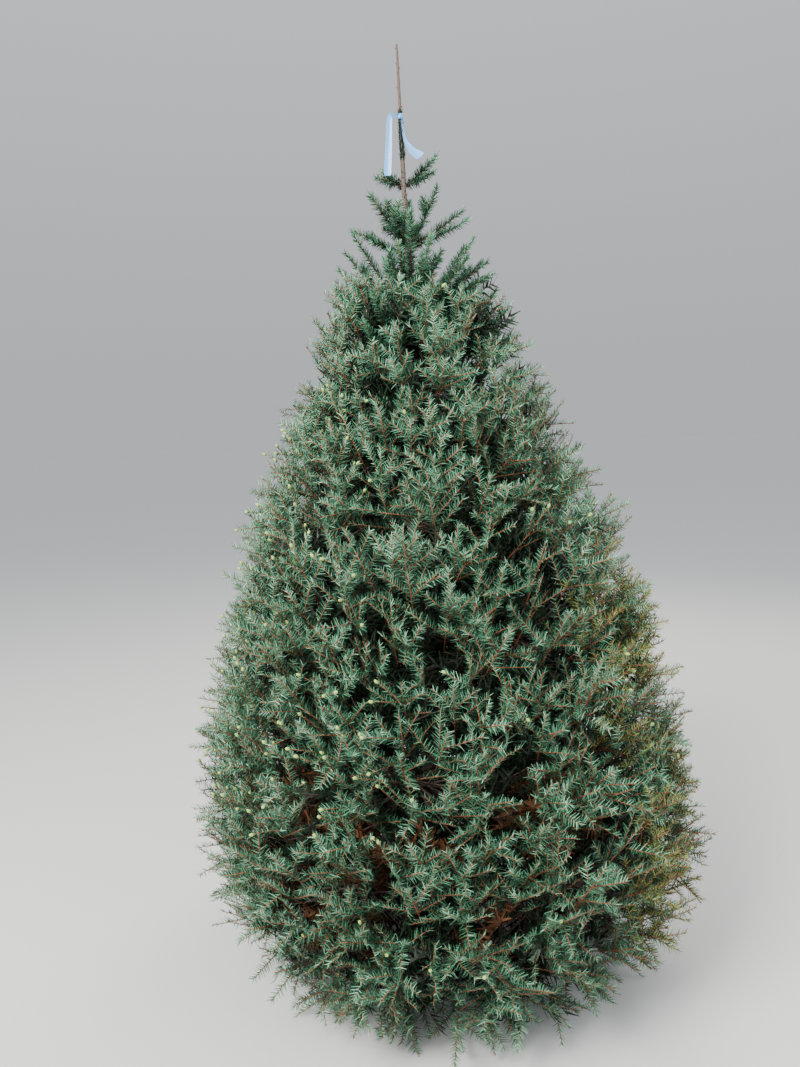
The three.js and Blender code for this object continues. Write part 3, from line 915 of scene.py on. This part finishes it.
def pick(*pieces):
    """Select these pieces alone, with the first one active."""
    start_clean()
    for piece in pieces:
        piece.select_set(True)
    bpy.context.view_layer.objects.active = pieces[0]


def settle(piece, name):
    """Name a finished piece and move its place into its mesh."""
    pick(piece)
    bpy.ops.object.transform_apply(location=True, rotation=True, scale=True)
    piece.name = name
    piece.data.name = name
    return piece


def joined_pieces(pieces, name):
    """Several modelled pieces as one."""
    pick(*pieces)
    bpy.ops.object.join()
    return settle(pieces[0], name)


def draw_limb(name, centres, radii, sides, level=False):
    """A limb drawn out ring by ring from a round face that lies level or looks along it."""
    start_clean()
    ahead = UP if level else centres[1] - centres[0]
    turn = Vector(ahead).to_track_quat("Z", "Y").to_euler()
    bpy.ops.mesh.primitive_circle_add(
        vertices=sides, radius=radii[0], fill_type="NGON", location=centres[0], rotation=turn,
    )
    limb = bpy.context.object
    bpy.ops.object.mode_set(mode="EDIT")
    bpy.ops.mesh.select_all(action="SELECT")
    for i in range(1, len(centres)):
        step = centres[i] - centres[i - 1]
        bpy.ops.mesh.extrude_region_move(TRANSFORM_OT_translate={"value": step})
        grow = radii[i] / radii[i - 1]
        bpy.ops.transform.resize(value=(grow, grow, grow), center_override=centres[i])
    bpy.ops.mesh.select_all(action="SELECT")
    bpy.ops.mesh.normals_make_consistent(inside=False)
    bpy.ops.object.mode_set(mode="OBJECT")
    return settle(limb, name)


def apply_modifiers(piece):
    """Apply all modifiers of a piece, from the first to the last."""
    pick(piece)
    for modifier in list(piece.modifiers):
        bpy.ops.object.modifier_apply(modifier=modifier.name)


def roughen(piece, strength, grain, group=""):
    """Subdivide a limb once and raise the relief of its bark: scales and broader swellings."""
    fine = piece.modifiers.new("fine", "SUBSURF")
    fine.subdivision_type = "SIMPLE"
    fine.levels = 1
    fine.render_levels = 1
    for share, size, kind in ((1.0, grain, "VORONOI"), (0.8, grain * 3, "CLOUDS")):
        texture = bpy.data.textures.new(f"{piece.name}_{kind.lower()}", kind)
        texture.noise_scale = size
        relief = piece.modifiers.new(kind.lower(), "DISPLACE")
        relief.texture = texture
        relief.strength = strength * share
        relief.mid_level = 0.5
        relief.vertex_group = group
    apply_modifiers(piece)
    bpy.ops.object.shade_smooth()


# Operators


class SPRUCE_OT_trunk(bpy.types.Operator):
    """Trunk with its root flare, taper, lean and bark, up to the tip of the leader"""

    bl_idname = "spruce.trunk"
    bl_label = "Trunk"

    def execute(self, context):
        sizes, colors = context.scene.spruce.sizes, context.scene.spruce.colors
        steps = [i / (TRUNK_RINGS - 1) for i in range(TRUNK_RINGS)]
        heights = [HEIGHT * step**RING_CROWDING for step in steps]
        centres = [Vector(axis_point(z)) * MM for z in heights]
        radii = [self.ring_radius(z) * MM for z in heights]
        trunk = draw_limb("trunk_bark", centres, radii, TRUNK_SIDES, level=True)
        for lobe in range(FLARE_LOBES):
            self.pull_lobe(trunk, 2 * math.pi * lobe / FLARE_LOBES)
        above_cut = [v.index for v in trunk.data.vertices if v.co.z > FOOT * MM]
        trunk.vertex_groups.new(name="bark").add(above_cut, 1.0, "REPLACE")
        roughen(trunk, sizes.bark_relief, 0.011, "bark")
        dark, light = colors.bark, shaded(colors.bark, 1.9)
        bark = bark_material("trunk_bark", dark, light, scale=70, bump=0.6, roughness=0.85)
        self.young_top(bark, tuple(colors.leader))
        trunk.data.materials.append(bark)
        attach(trunk, "root")
        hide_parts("trunk")
        return {"FINISHED"}

    def ring_radius(self, z):
        """The trunk's radius with its flare and a slight swelling at each whorl."""
        share, first, step, half = SWELLING
        swelling = 1 + share * math.exp(-(((z % step - first) / half) ** 2))
        flare = FLARE_ALL_ROUND * FLARE * math.exp(-z / FLARE_HEIGHT)
        return trunk_radius(z) * swelling + flare - RING_SUNK

    def young_top(self, bark, color):
        """Let the bark pass into the brown of the young leader near the top."""
        tree = bark.node_tree
        shader = tree.nodes["Principled BSDF"]
        mixed = shader.inputs["Base Color"].links[0].from_node
        place = add_node(tree, "TexCoord")
        axes = add_node(tree, "SeparateXYZ")
        low, high = YOUNG
        limits = {"From Min": low * MM, "From Max": high * MM, "To Max": 0.9}
        young = add_node(tree, "MapRange", limits)
        tone = add_node(tree, "Mix", data_type="RGBA")
        tone.inputs["B"].default_value = (*color, 1)
        wire(
            tree,
            (place, "Object", axes, "Vector"),
            (axes, "Z", young, "Value"),
            (young, "Result", tone, "Factor"),
            (mixed, "Result", tone, "A"),
            (tone, "Result", shader, "Base Color"),
        )

    def pull_lobe(self, trunk, bearing):
        """Pull one lobe of the root flare outwards, furthest at the ground."""
        out = Vector((math.cos(bearing), math.sin(bearing), 0))
        for reach, pull in LOBE_PULLS:
            for v in trunk.data.vertices:
                flat = Vector((v.co.x, v.co.y, 0)).normalized()
                v.select = flat.dot(out) > LOBE_NARROW and v.co.z < reach * MM
            for part in (*trunk.data.edges, *trunk.data.polygons):
                part.select = False
            bpy.ops.object.mode_set(mode="EDIT")
            bpy.ops.mesh.select_mode(type="VERT")
            bpy.ops.transform.translate(value=out * pull * MM)
            bpy.ops.object.mode_set(mode="OBJECT")


class SPRUCE_OT_boughs(bpy.types.Operator):
    """Main boughs, each one tapering limb from a collar on the trunk to its mass of foliage"""

    bl_idname = "spruce.boughs"
    bl_label = "Boughs"

    def execute(self, context):
        sizes, colors = context.scene.spruce.sizes, context.scene.spruce.colors
        carried = [space for space in spaces() if space.has_bough]
        boughs = joined_pieces([self.bough(space) for space in carried], "boughs_bark")
        roughen(boughs, 0.7 * sizes.bark_relief, 0.008)
        dark, light = tuple(colors.bark), shaded(colors.twig, 2.0)
        bark = bark_material("bough_bark", dark, light, scale=110, bump=0.5, roughness=0.8)
        boughs.data.materials.append(bark)
        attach(boughs, "root")
        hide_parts(*(f"bough_{space.label}" for space in carried))
        return {"FINISHED"}

    def bough(self, space):
        base = BOUGH_R - BOUGH_R_LOSS * space.height(BOUGH_FROM, 0)
        centres, radii = [], []
        for i in range(BOUGH_RINGS):
            along = i / (BOUGH_RINGS - 1)
            r = lerp(LIMB_ROOT * space.trunk, space.tip, along**RINGS_OUTWARDS)
            collar = 1 + BOUGH_COLLAR * math.exp(-max(r - space.trunk, 0) / COLLAR_LENGTH)
            sway = BOUGH_SWAY * along * math.sin(5 * along + space.key)
            centres.append(Vector(space.way_out(r) + UP * sway) * MM)
            radii.append(base * lerp(1, BOUGH_TIP, along) * collar * MM)
        return draw_limb(f"bough_{space.label}", centres, radii, BOUGH_SIDES)


class SPRUCE_OT_twigs(bpy.types.Operator):
    """Stems of the masses, the twigs that carry each spray and the stems of all shoots"""

    bl_idname = "spruce.twigs"
    bl_label = "Twigs"

    def execute(self, context):
        sizes, colors = context.scene.spruce.sizes, context.scene.spruce.colors
        thickness = sizes.shoot_thickness / MM
        inner = sprays()["inner"][shoots()["spray"]]
        old = joined([self.stems(), self.stalks(), self.shoot_stems(thickness, inner)])
        young = self.shoot_stems(thickness, ~inner)
        dark, light = tuple(colors.twig), shaded(colors.twig, 1.5)
        wood = bark_material("twig_bark", dark, light, scale=160, bump=0.4, roughness=0.8)
        dark, light = shaded(colors.shoot, 0.55), tuple(colors.shoot)
        skin = bark_material("shoot_bark", dark, light, scale=120, bump=0.2, roughness=0.6)
        for name, shape, material in (("twigs_wood", old, wood), ("shoots_wood", young, skin)):
            piece = mesh_piece(name, *shape, material, smooth=True)
            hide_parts(*foliage_nodes())
        return {"FINISHED"}

    def stems(self):
        """The stem of each mass, from its bough's tip or the trunk to the roots of its sprays."""
        centres, radii = [], []
        for space in (space for space in spaces() if not space.all_plumes):
            start = space.tip - STEM_SUNK if space.has_bough else STEM_ROOT * space.trunk
            end = STEM_R if space.has_bough else STEM_R_HIGH
            base = BOUGH_R - BOUGH_R_LOSS * space.height(BOUGH_FROM, 0)
            first = base * BOUGH_TIP if space.has_bough else end
            steps = np.linspace(0, 1, STEM_RINGS)
            centres.append([space.way_out(lerp(start, space.face, t)) for t in steps])
            radii.append([lerp(first, STEM_TIP * end, t) for t in steps])
        return tubes(np.array(centres), np.array(radii), STEM_SIDES)

    def stalks(self):
        """The twig of each spray, bending out of the stem and into the spray's own axis."""
        every = sprays()
        s = {name: values[~every["plume"]] for name, values in every.items()}
        a, d = s["start"], s["base"] + s["ahead"] * (STALK_INTO * s["length"])[:, None]
        gap = np.linalg.norm(d - a, axis=1)[:, None]
        out = unit(np.stack([a[:, 0], a[:, 1], np.full(len(a), STALK_RISE)], 1))
        b, c = a + out * STALK_BENDS[0] * gap, d - s["ahead"] * STALK_BENDS[1] * gap
        t = np.linspace(0, 1, STALK_RINGS)[None, :, None]
        a, b, c, d = (p[:, None] for p in (a, b, c, d))
        centres = a * (1 - t) ** 3 + 3 * b * t * (1 - t) ** 2 + 3 * c * t * t * (1 - t) + d * t**3
        radii = np.repeat(np.linspace(*STALK_R, STALK_RINGS)[None], len(centres), 0)
        return tubes(centres, radii, 3)

    def shoot_stems(self, thickness, chosen):
        """Three-sided stems of the chosen shoots, thicker for the axis of a spray."""
        s = shoots()
        parts = []
        for order, (rings, root) in enumerate(zip(SHOOT_RINGS, (MAIN_STEM, 1.0))):
            mine = (s["order"] == order) & chosen
            t = np.linspace(0, 1, rings)[None, :, None]
            start, run, bend = (s[name][mine][:, None] for name in ("start", "run", "bend"))
            centres = start + run * t + bend * t * t
            centres[..., 2] = np.maximum(centres[..., 2], LOWEST)
            taper = np.linspace(1, SHOOT_TAPER, rings) * root * thickness / 2
            parts.append(tubes(centres, np.repeat(taper[None], len(centres), 0), 3))
        return joined(parts)


class SPRUCE_OT_needles(bpy.types.Operator):
    """Needles of all shoots, dealt out by spray into joined pieces of one tint each"""

    bl_idname = "spruce.needles"
    bl_label = "Needles"

    def execute(self, context):
        sizes, colors = context.scene.spruce.sizes, context.scene.spruce.colors
        needles = self.dealt_out(sizes)
        points = self.shapes(sizes, *needles)
        tints = self.tints(*needles)
        clear = points[:, :, 2].min(1) >= LOWEST_NEEDLE
        for number, name in enumerate(TINTS):
            mine = points[clear & (tints == number)]
            if not len(mine):
                raise RuntimeError(f"no needles have the tint {name}")
            material = needle_material(f"needles_{name}", getattr(colors, name))
            piece = mesh_piece(f"needles_{name}", *blades(mine), material)
            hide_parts(*foliage_nodes())
        return {"FINISHED"}

    def kinds(self):
        """Whether each shoot belongs to an inner spray, to a plume, or is another spray's axis."""
        s, owner = shoots(), sprays()
        plume = owner["plume"][s["spray"]]
        return owner["inner"][s["spray"]], plume, (s["order"] == 0) & ~plume

    def dealt_out(self, sizes):
        """For each needle its shoot, its number on it, a seed, and its place from 0 to 1."""
        inner, plume, axis = self.kinds()
        crowd = np.where(inner, INNER_CROWD, np.where(plume, PLUME_CROWD, 1.0))
        per_mm = sizes.needles_per_metre * MM * crowd * np.where(axis, AXIS_CROWD, 1.0)
        count = np.maximum((shoots()["length"] * per_mm).astype(int), NEEDLES_LEAST)
        shoot = np.repeat(np.arange(len(count)), count)
        turn = np.arange(len(shoot)) - np.repeat(np.cumsum(count) - count, count)
        seed = np.arange(len(shoot), dtype=np.uint64)
        t = (turn + 0.5 + 0.4 * swing(seed, 1)) / count[shoot]
        bare = np.where(axis, AXIS_BARE, SHOOT_BARE)[shoot]
        return shoot, turn, seed, bare + (1 - bare) * t

    def shapes(self, sizes, shoot, turn, seed, t):
        """The four corners of every needle."""
        inner, plume, _ = self.kinds()
        root, along = shoot_points(shoot, t)
        side = unit(np.cross(shoots()["above"][shoot], along))
        above = np.cross(along, side)
        around = self.angles(plume[shoot], turn, seed)
        out = side * np.sin(around)[:, None] + above * np.cos(around)[:, None]

        least, less_at_tip, less_above, chances = NEEDLE_LEAN
        lean = np.radians(least - less_at_tip * near_tip(t) + chances * swing(seed, 4))
        lean = lean - np.radians(less_above) * np.clip(np.cos(around), 0, 1)
        away = along * np.cos(lean)[:, None] + out * np.sin(lean)[:, None]
        flat = unit(np.cross(away, above))
        wide = turned(flat, away, NEEDLE_TURN * swing(seed, 8))

        longer = np.where(inner, INNER_NEEDLE, np.where(plume, PLUME_NEEDLE, 1.0))[shoot]
        wider = np.where(inner, INNER_WIDTH, np.where(plume, PLUME_NEEDLE, 1.0))[shoot]
        # Needles are longest in the middle of a shoot
        size = sizes.needle_length / MM * (0.78 + 0.28 * np.sin(np.pi * np.minimum(1.1 * t, 1)))
        size = size * (1 + NEEDLE_VARIES * swing(seed, 5)) * longer
        half = sizes.needle_width / MM / 2 * wider
        return blade_corners(root, away, wide, size, half, above * NEEDLE_BOW)

    def angles(self, plume, turn, seed):
        """Where needles stand round the shoot, from its upper side: thin below, so that the stem
        shows from outside and underneath, and all round on plumes."""
        place = chance(seed, 2)
        spread = np.interp(place, *NEEDLE_SPREAD), np.interp(place, *PLUME_SPREAD)
        around = np.radians(np.where(plume, spread[1], spread[0]))
        return around * np.where(turn % 2, 1, -1)

    def tints(self, shoot, turn, seed, t):
        """A tint for each needle: its shoot's own, paler near the tip of its shoot, with painted
        shade towards the root of its spray, painted light at its tip and on every second pair, and
        painted sunlight low on the east side.
        """
        s, owner = shoots(), sprays()
        spray = s["spray"][shoot]
        from_base = shoot_points(shoot, t)[0] - owner["base"][spray]
        out = (from_base * owner["ahead"][spray]).sum(1) / owner["length"][spray]
        # Painted light and shade: darker towards the spray's root, paler at its tip and on every
        # second pair
        tone = PAINTED_LIGHT_OUT * out + TONE_TIP * near_tip(t) + PAINTED_HIGHLIGHT_PAIR * (turn // 2 % 2)
        tone = tone + TONE_NEEDLE * chance(seed, 6) + self.shoot_tones()[shoot]
        tint = TINTS.index("deep") + np.searchsorted(TINT_STEPS, tone)

        x, z = owner["base"][:, 0], owner["base"][:, 2]
        luck = chance(owner["key"], owner["index"], 41)
        # Painted sunlight: a share of the paler needles of low east sprays take the yellow-olive
        # tint
        painted_sun = (x > PAINTED_SUN_EAST) & (z < PAINTED_SUN_BELOW) & (luck < PAINTED_SUN_SPRAYS)
        painted_sun = painted_sun[spray] & (tint > TINTS.index("forest")) & (chance(seed, 9) < PAINTED_SUN_NEEDLES)
        dead = (z < DEAD_BELOW) & (chance(owner["key"], owner["index"], 42) < DEAD_SPRAYS)
        # Inner sprays low down may be rusty dead; the others get the near-black inner tint, painted
        # shade
        old = np.where(dead, TINTS.index("dead"), TINTS.index("inner"))
        outer = np.where(painted_sun, TINTS.index("painted_sun"), tint)
        return np.where(owner["inner"][spray], old[spray], outer)

    def shoot_tones(self):
        """What each shoot adds to the tone of its needles."""
        s, owner = shoots(), sprays()
        key, index = owner["key"][s["spray"]], owner["index"][s["spray"]]
        x, z = owner["base"][:, 0], owner["base"][:, 2]
        # Painted light on the west side, beside the tones for height and plumes
        place = PAINTED_LIGHT_WEST * (x < TONE_WEST_OF) + TONE_HIGH * (z > TONE_HIGH_ABOVE)
        place = place + TONE_LOW * (z < TONE_LOW_BELOW) + TONE_PLUME * owner["plume"]
        own = TONE_SPRAY * chance(key, index, 40) + TONE_SHOOT * chance(key, index, s["tag"], 43)
        return own + place[s["spray"]]


class SPRUCE_OT_buds(bpy.types.Operator):
    """Buds at the tips of shoots, and the pale swelling tips of new growth on one side"""

    bl_idname = "spruce.buds"
    bl_label = "Buds"

    def execute(self, context):
        colors = context.scene.spruce.colors
        s, owner = shoots(), sprays()
        ends, ahead = shoot_points(slice(None), np.ones(len(s["length"])))
        luck = chance(owner["key"][s["spray"]], owner["index"][s["spray"]], s["tag"], 50)
        outer = ~owner["inner"][s["spray"]] & (ends[:, 2] > LOWEST_BUD)
        low, high = FRESH_HEIGHTS
        west = (ends[:, 0] < FRESH_WEST_OF) & (ends[:, 2] > low) & (ends[:, 2] < high)
        fresh = outer & (luck < np.where(west, *FRESH_SHARES))
        plain = outer & ~fresh & (luck > 1 - BUD_SHARE)

        leader_ends, leader_ahead = self.leader_buds()
        ends_with = np.concatenate([ends[plain], leader_ends])
        ahead_with = np.concatenate([ahead[plain], leader_ahead])
        dark, light = shaded(colors.shoot, 0.48), shaded(colors.shoot, 0.8)
        scales = bark_material("bud_scales", dark, light, scale=300, bump=0.3, roughness=0.5)
        self.place("buds", ends_with, ahead_with, BUD, scales, "bark")
        growth = needle_material("fresh_tips", colors.fresh)
        self.place("fresh_tips", ends[fresh], ahead[fresh], FRESH_TIP, growth, "needles")
        return {"FINISHED"}

    def place(self, name, ends, ahead, form, material, slot):
        """A joined piece of buds of one form at the ends of shoots."""
        radius, length, sides, stations, widths = form
        along = length * np.array(stations)
        centres = ends[:, None] + ahead[:, None] * along[None, :, None]
        radii = np.repeat(radius * np.array(widths)[None], len(ends), 0)
        piece = mesh_piece(name, *tubes(centres, radii, sides), material, smooth=True)
        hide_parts(*foliage_nodes())

    def leader_buds(self):
        """Places and headings of the small buds that climb round the bare leader."""
        z = np.arange(*LEADER_BUDS)
        around = GOLDEN_ANGLE * np.arange(len(z))
        out = np.stack([np.cos(around), np.sin(around), 0 * around], 1)
        places = axis_point(z) + out * (trunk_radius(z) - LEADER_BUD_SUNK)[:, None]
        return places, unit(out + UP * LEADER_BUD_RISE)


class SPRUCE_OT_leader(bpy.types.Operator):
    """Needles that stand on the trunk itself: dense on the leader, sparse below it"""

    bl_idname = "spruce.leader"
    bl_label = "Leader needles"

    def execute(self, context):
        sizes, colors = context.scene.spruce.sizes, context.scene.spruce.colors
        half = sizes.needle_width / MM / 2 * PLUME_NEEDLE
        rows = [self.stretch(k, half, *stretch) for k, stretch in enumerate(TRUNK_NEEDLES)]
        material = needle_material("needles_leader", colors.deep)
        piece = mesh_piece("needles_leader", *blades(np.concatenate(rows)), material)
        return {"FINISHED"}

    def stretch(self, number, half, low, high, per_mm, size, angle):
        """The corners of the needles on one stretch of the trunk."""
        count = int((high - low) * per_mm)
        turn = np.arange(count)
        seed = turn.astype(np.uint64) + np.uint64(1000 * number)
        z = low + (high - low) * (turn + 0.5 + 0.4 * swing(seed, 80)) / count
        around = GOLDEN_ANGLE * turn + 0.4 * swing(seed, 81)
        out = np.stack([np.cos(around), np.sin(around), 0 * z], 1)
        root = axis_point(z) + out * (trunk_radius(z) - LEADER_NEEDLE_SUNK)[:, None]
        lean = np.radians(angle + 10 * swing(seed, 82))
        away = UP * np.cos(lean)[:, None] + out * np.sin(lean)[:, None]
        long = size * (1 + 0.2 * swing(seed, 83))
        wide = unit(np.cross(UP, out))
        return blade_corners(root, away, wide, long, np.full(count, half), 0 * away)


class SPRUCE_OT_ribbon(bpy.types.Operator):
    """Marking ribbon: a knotted band round the leader and two hanging tails"""

    bl_idname = "spruce.ribbon"
    bl_label = "Ribbon"

    def execute(self, context):
        sizes, colors = context.scene.spruce.sizes, context.scene.spruce.colors
        parts = [self.band()] + [self.tail(*tail, sizes.ribbon_thickness) for tail in TAILS]
        ribbon = joined_pieces(parts, "ribbon_film")
        bpy.ops.object.shade_smooth()
        ribbon.data.materials.append(self.film(tuple(colors.ribbon)))
        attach(ribbon, "root")
        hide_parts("ribbon")
        return {"FINISHED"}

    def film(self, color):
        """Pale film with fine lengthwise creases, and painted shade that darkens their hollows."""
        material, shader = new_material("ribbon_film", 0.38)
        tree = material.node_tree
        place = add_node(tree, "TexCoord")
        stretch = add_node(tree, "Mapping", {"Scale": CREASES})
        crease = add_node(tree, "TexNoise", {"Scale": 1, "Detail": 3})
        wire(tree, (place, "Object", stretch, "Vector"), (stretch, "Vector", crease, "Vector"))
        mask = (crease, "Fac")
        # Painted shade: the film is darker where the creases sink
        two_toned(tree, shader, shaded(color, 0.82), color, mask, mask, 0.35, CREASE_HEIGHT)
        return material

    def band(self):
        """The band: a thin ring round the leader, drawn out upwards and downwards."""
        start_clean()
        around = (trunk_radius(RIBBON_Z) + BAND_STANDOFF) * MM
        bpy.ops.mesh.primitive_torus_add(
            major_radius=around, minor_radius=BAND_THICK / 2 * MM, major_segments=28,
            minor_segments=10, location=Vector(axis_point(RIBBON_Z)) * MM,
        )
        band = bpy.context.object
        bpy.ops.object.mode_set(mode="EDIT")
        bpy.ops.mesh.select_all(action="SELECT")
        bpy.ops.transform.resize(value=(1, 1, BAND_DRAWN_OUT))
        bpy.ops.object.mode_set(mode="OBJECT")
        return settle(band, "ribbon_band")

    def tail(self, bearing, facing, stations, thickness):
        """One tail: a grid carried row by row along its route, then given its thickness."""
        start_clean()
        bpy.ops.mesh.primitive_grid_add(
            x_subdivisions=TAIL_COLUMNS - 1, y_subdivisions=TAIL_ROWS - 1, size=TAIL_GRID * MM,
        )
        tail = bpy.context.object
        bpy.ops.object.mode_set(mode="EDIT")
        bpy.ops.mesh.select_mode(type="VERT")
        route = self.route(math.radians(bearing), math.radians(facing), np.array(stations))
        for number, spot in enumerate(route.reshape(-1, 3)):
            self.carry(tail, number, Vector(spot) * MM)
        bpy.ops.mesh.select_all(action="SELECT")
        bpy.ops.mesh.normals_make_consistent(inside=False)
        bpy.ops.object.mode_set(mode="OBJECT")
        film = tail.modifiers.new("film", "SOLIDIFY")
        film.thickness = thickness
        film.offset = 0
        soft = tail.modifiers.new("soft", "SUBSURF")
        soft.levels = 1
        soft.render_levels = 1
        apply_modifiers(tail)
        return settle(tail, "ribbon_tail")

    def route(self, bearing, facing, stations):
        """Rows of points of a tail, smooth between its stations, with its edges curled back."""
        spots = np.linspace(0, len(stations) - 1, TAIL_ROWS)
        columns = [np.interp(spots, np.arange(len(stations)), column) for column in stations.T]
        soft = np.array([0.25, 0.5, 0.25])
        for _ in range(TAIL_SMOOTHED):
            columns = [np.r_[c[0], np.convolve(c, soft, "valid"), c[-1]] for c in columns]
        out, drop, width = columns
        outwards = np.array([math.cos(bearing), math.sin(bearing), 0])
        front = np.array([math.cos(facing), math.sin(facing), 0])
        hold = trunk_radius(RIBBON_Z) + TAIL_STANDOFF
        middle = axis_point(RIBBON_Z) + outwards * (hold + out)[:, None] - UP * drop[:, None]
        along = unit(np.gradient(middle, axis=0))
        wide = unit(np.cross(front, along))
        back = np.cross(wide, along)
        across = np.linspace(-0.5, 0.5, TAIL_COLUMNS)
        wave = across * np.sin(1.3 * spots)[:, None]
        curl = TAIL_CURL * (0.25 - across**2) + TAIL_WAVE * wave
        offset = (TAIL_FLAT * width[:, None] * across)[:, :, None] * wide[:, None]
        return middle[:, None] + offset + (width[:, None] * curl)[:, :, None] * back[:, None]

    def carry(self, piece, number, spot):
        """Select one vertex alone and move it to its place."""
        mesh = bmesh.from_edit_mesh(piece.data)
        mesh.verts.ensure_lookup_table()
        for vertex in mesh.verts:
            vertex.select = vertex.index == number
        mesh.select_flush_mode()
        step = spot - mesh.verts[number].co
        bmesh.update_edit_mesh(piece.data)
        bpy.ops.transform.translate(value=step)


class SPRUCE_OT_stage(bpy.types.Operator):
    """Pale floor, soft lights and the camera at the photograph's viewing angle"""

    bl_idname = "spruce.stage"
    bl_label = "Stage"

    def execute(self, context):
        self.floor()
        self.backdrop(context)
        self.lamps(context)
        self.camera(context)
        return {"FINISHED"}

    def floor(self):
        start_clean()
        bpy.ops.mesh.primitive_plane_add(size=FLOOR_SIZE, location=(0, 0, 0))
        floor = settle(bpy.context.object, "floor")
        material, shader = new_material("floor", 0.9)
        shader.inputs["Base Color"].default_value = FLOOR_COLOR
        floor.data.materials.append(material)

    def backdrop(self, context):
        """A world that is as bright as the floor at the horizon, and brighter above it."""
        world = bpy.data.worlds.new("studio")
        world.use_nodes = True
        tree = world.node_tree
        background = tree.nodes["Background"]
        background.inputs["Color"].default_value = BACKDROP_COLOR
        way = add_node(tree, "TexCoord")
        axes = add_node(tree, "SeparateXYZ")
        low, high = BACKDROP
        limits = {"From Min": 0, "From Max": BACKDROP_RISE, "To Min": low, "To Max": high}
        rise = add_node(tree, "MapRange", limits, interpolation_type="SMOOTHSTEP")
        wire(
            tree,
            (way, "Generated", axes, "Vector"),
            (axes, "Z", rise, "Value"),
            (rise, "Result", background, "Strength"),
        )
        context.scene.world = world

    def lamps(self, context):
        for name, place, power, size, color in LAMPS:
            lamp = bpy.data.lights.new(name, "AREA")
            lamp.energy = power
            lamp.size = size
            lamp.color = color
            light = bpy.data.objects.new(name, lamp)
            aim = Vector(LAMPS_AIM) - Vector(place)
            turn = aim.to_track_quat("-Z", "Y").to_matrix().to_4x4()
            light.matrix_world = Matrix.Translation(place) @ turn
            context.collection.objects.link(light)

    def camera(self, context):
        ahead = Vector((0, math.cos(PITCH), -math.sin(PITCH)))
        level = Vector((1, 0, 0))
        upright = level.cross(ahead)
        right = level * math.cos(ROLL_VIEW) + upright * math.sin(ROLL_VIEW)
        top = upright * math.cos(ROLL_VIEW) - level * math.sin(ROLL_VIEW)
        data = bpy.data.cameras.new("camera")
        data.sensor_fit = "VERTICAL"
        data.sensor_height = SENSOR
        data.lens = FOCAL_PX / PHOTO_ROWS * SENSOR
        data.clip_end = FLOOR_SIZE / 2
        camera = bpy.data.objects.new("camera", data)
        turn = Matrix((right, top, -ahead)).transposed()
        camera.matrix_world = Matrix.Translation(CAMERA_AT) @ turn.to_4x4()
        context.collection.objects.link(camera)
        context.scene.camera = camera


class SPRUCE_PT_panel(bpy.types.Panel):
    """Sizes, colours and steps of the spruce"""

    bl_idname = "SPRUCE_PT_panel"
    bl_label = "Sheared spruce"
    bl_space_type = "VIEW_3D"
    bl_region_type = "UI"
    bl_category = "Spruce"

    def draw(self, context):
        for group in (context.scene.spruce.sizes, context.scene.spruce.colors):
            box = self.layout.box()
            for name in group.bl_rna.properties.keys():
                if name not in {"rna_type", "name"}:
                    box.prop(group, name)
        for step in STEPS:
            self.layout.operator(step.bl_idname)


STEPS = (
    SPRUCE_OT_stage,
    SPRUCE_OT_trunk,
    SPRUCE_OT_boughs,
    SPRUCE_OT_twigs,
    SPRUCE_OT_needles,
    SPRUCE_OT_buds,
    SPRUCE_OT_leader,
    SPRUCE_OT_ribbon,
)
CLASSES = (SpruceSizes, SpruceColors, SpruceSettings, *STEPS, SPRUCE_PT_panel)


def register():
    for item in CLASSES:
        bpy.utils.register_class(item)
    bpy.types.Scene.spruce = PointerProperty(type=SpruceSettings)


def unregister():
    del bpy.types.Scene.spruce
    for item in reversed(CLASSES):
        bpy.utils.unregister_class(item)


def main():
    register()
    bpy.ops.spruce.stage()
    bpy.ops.spruce.trunk()
    bpy.ops.spruce.boughs()
    bpy.ops.spruce.twigs()
    bpy.ops.spruce.needles()
    bpy.ops.spruce.buds()
    bpy.ops.spruce.leader()
    bpy.ops.spruce.ribbon()


if __name__ == "__main__":
    main()
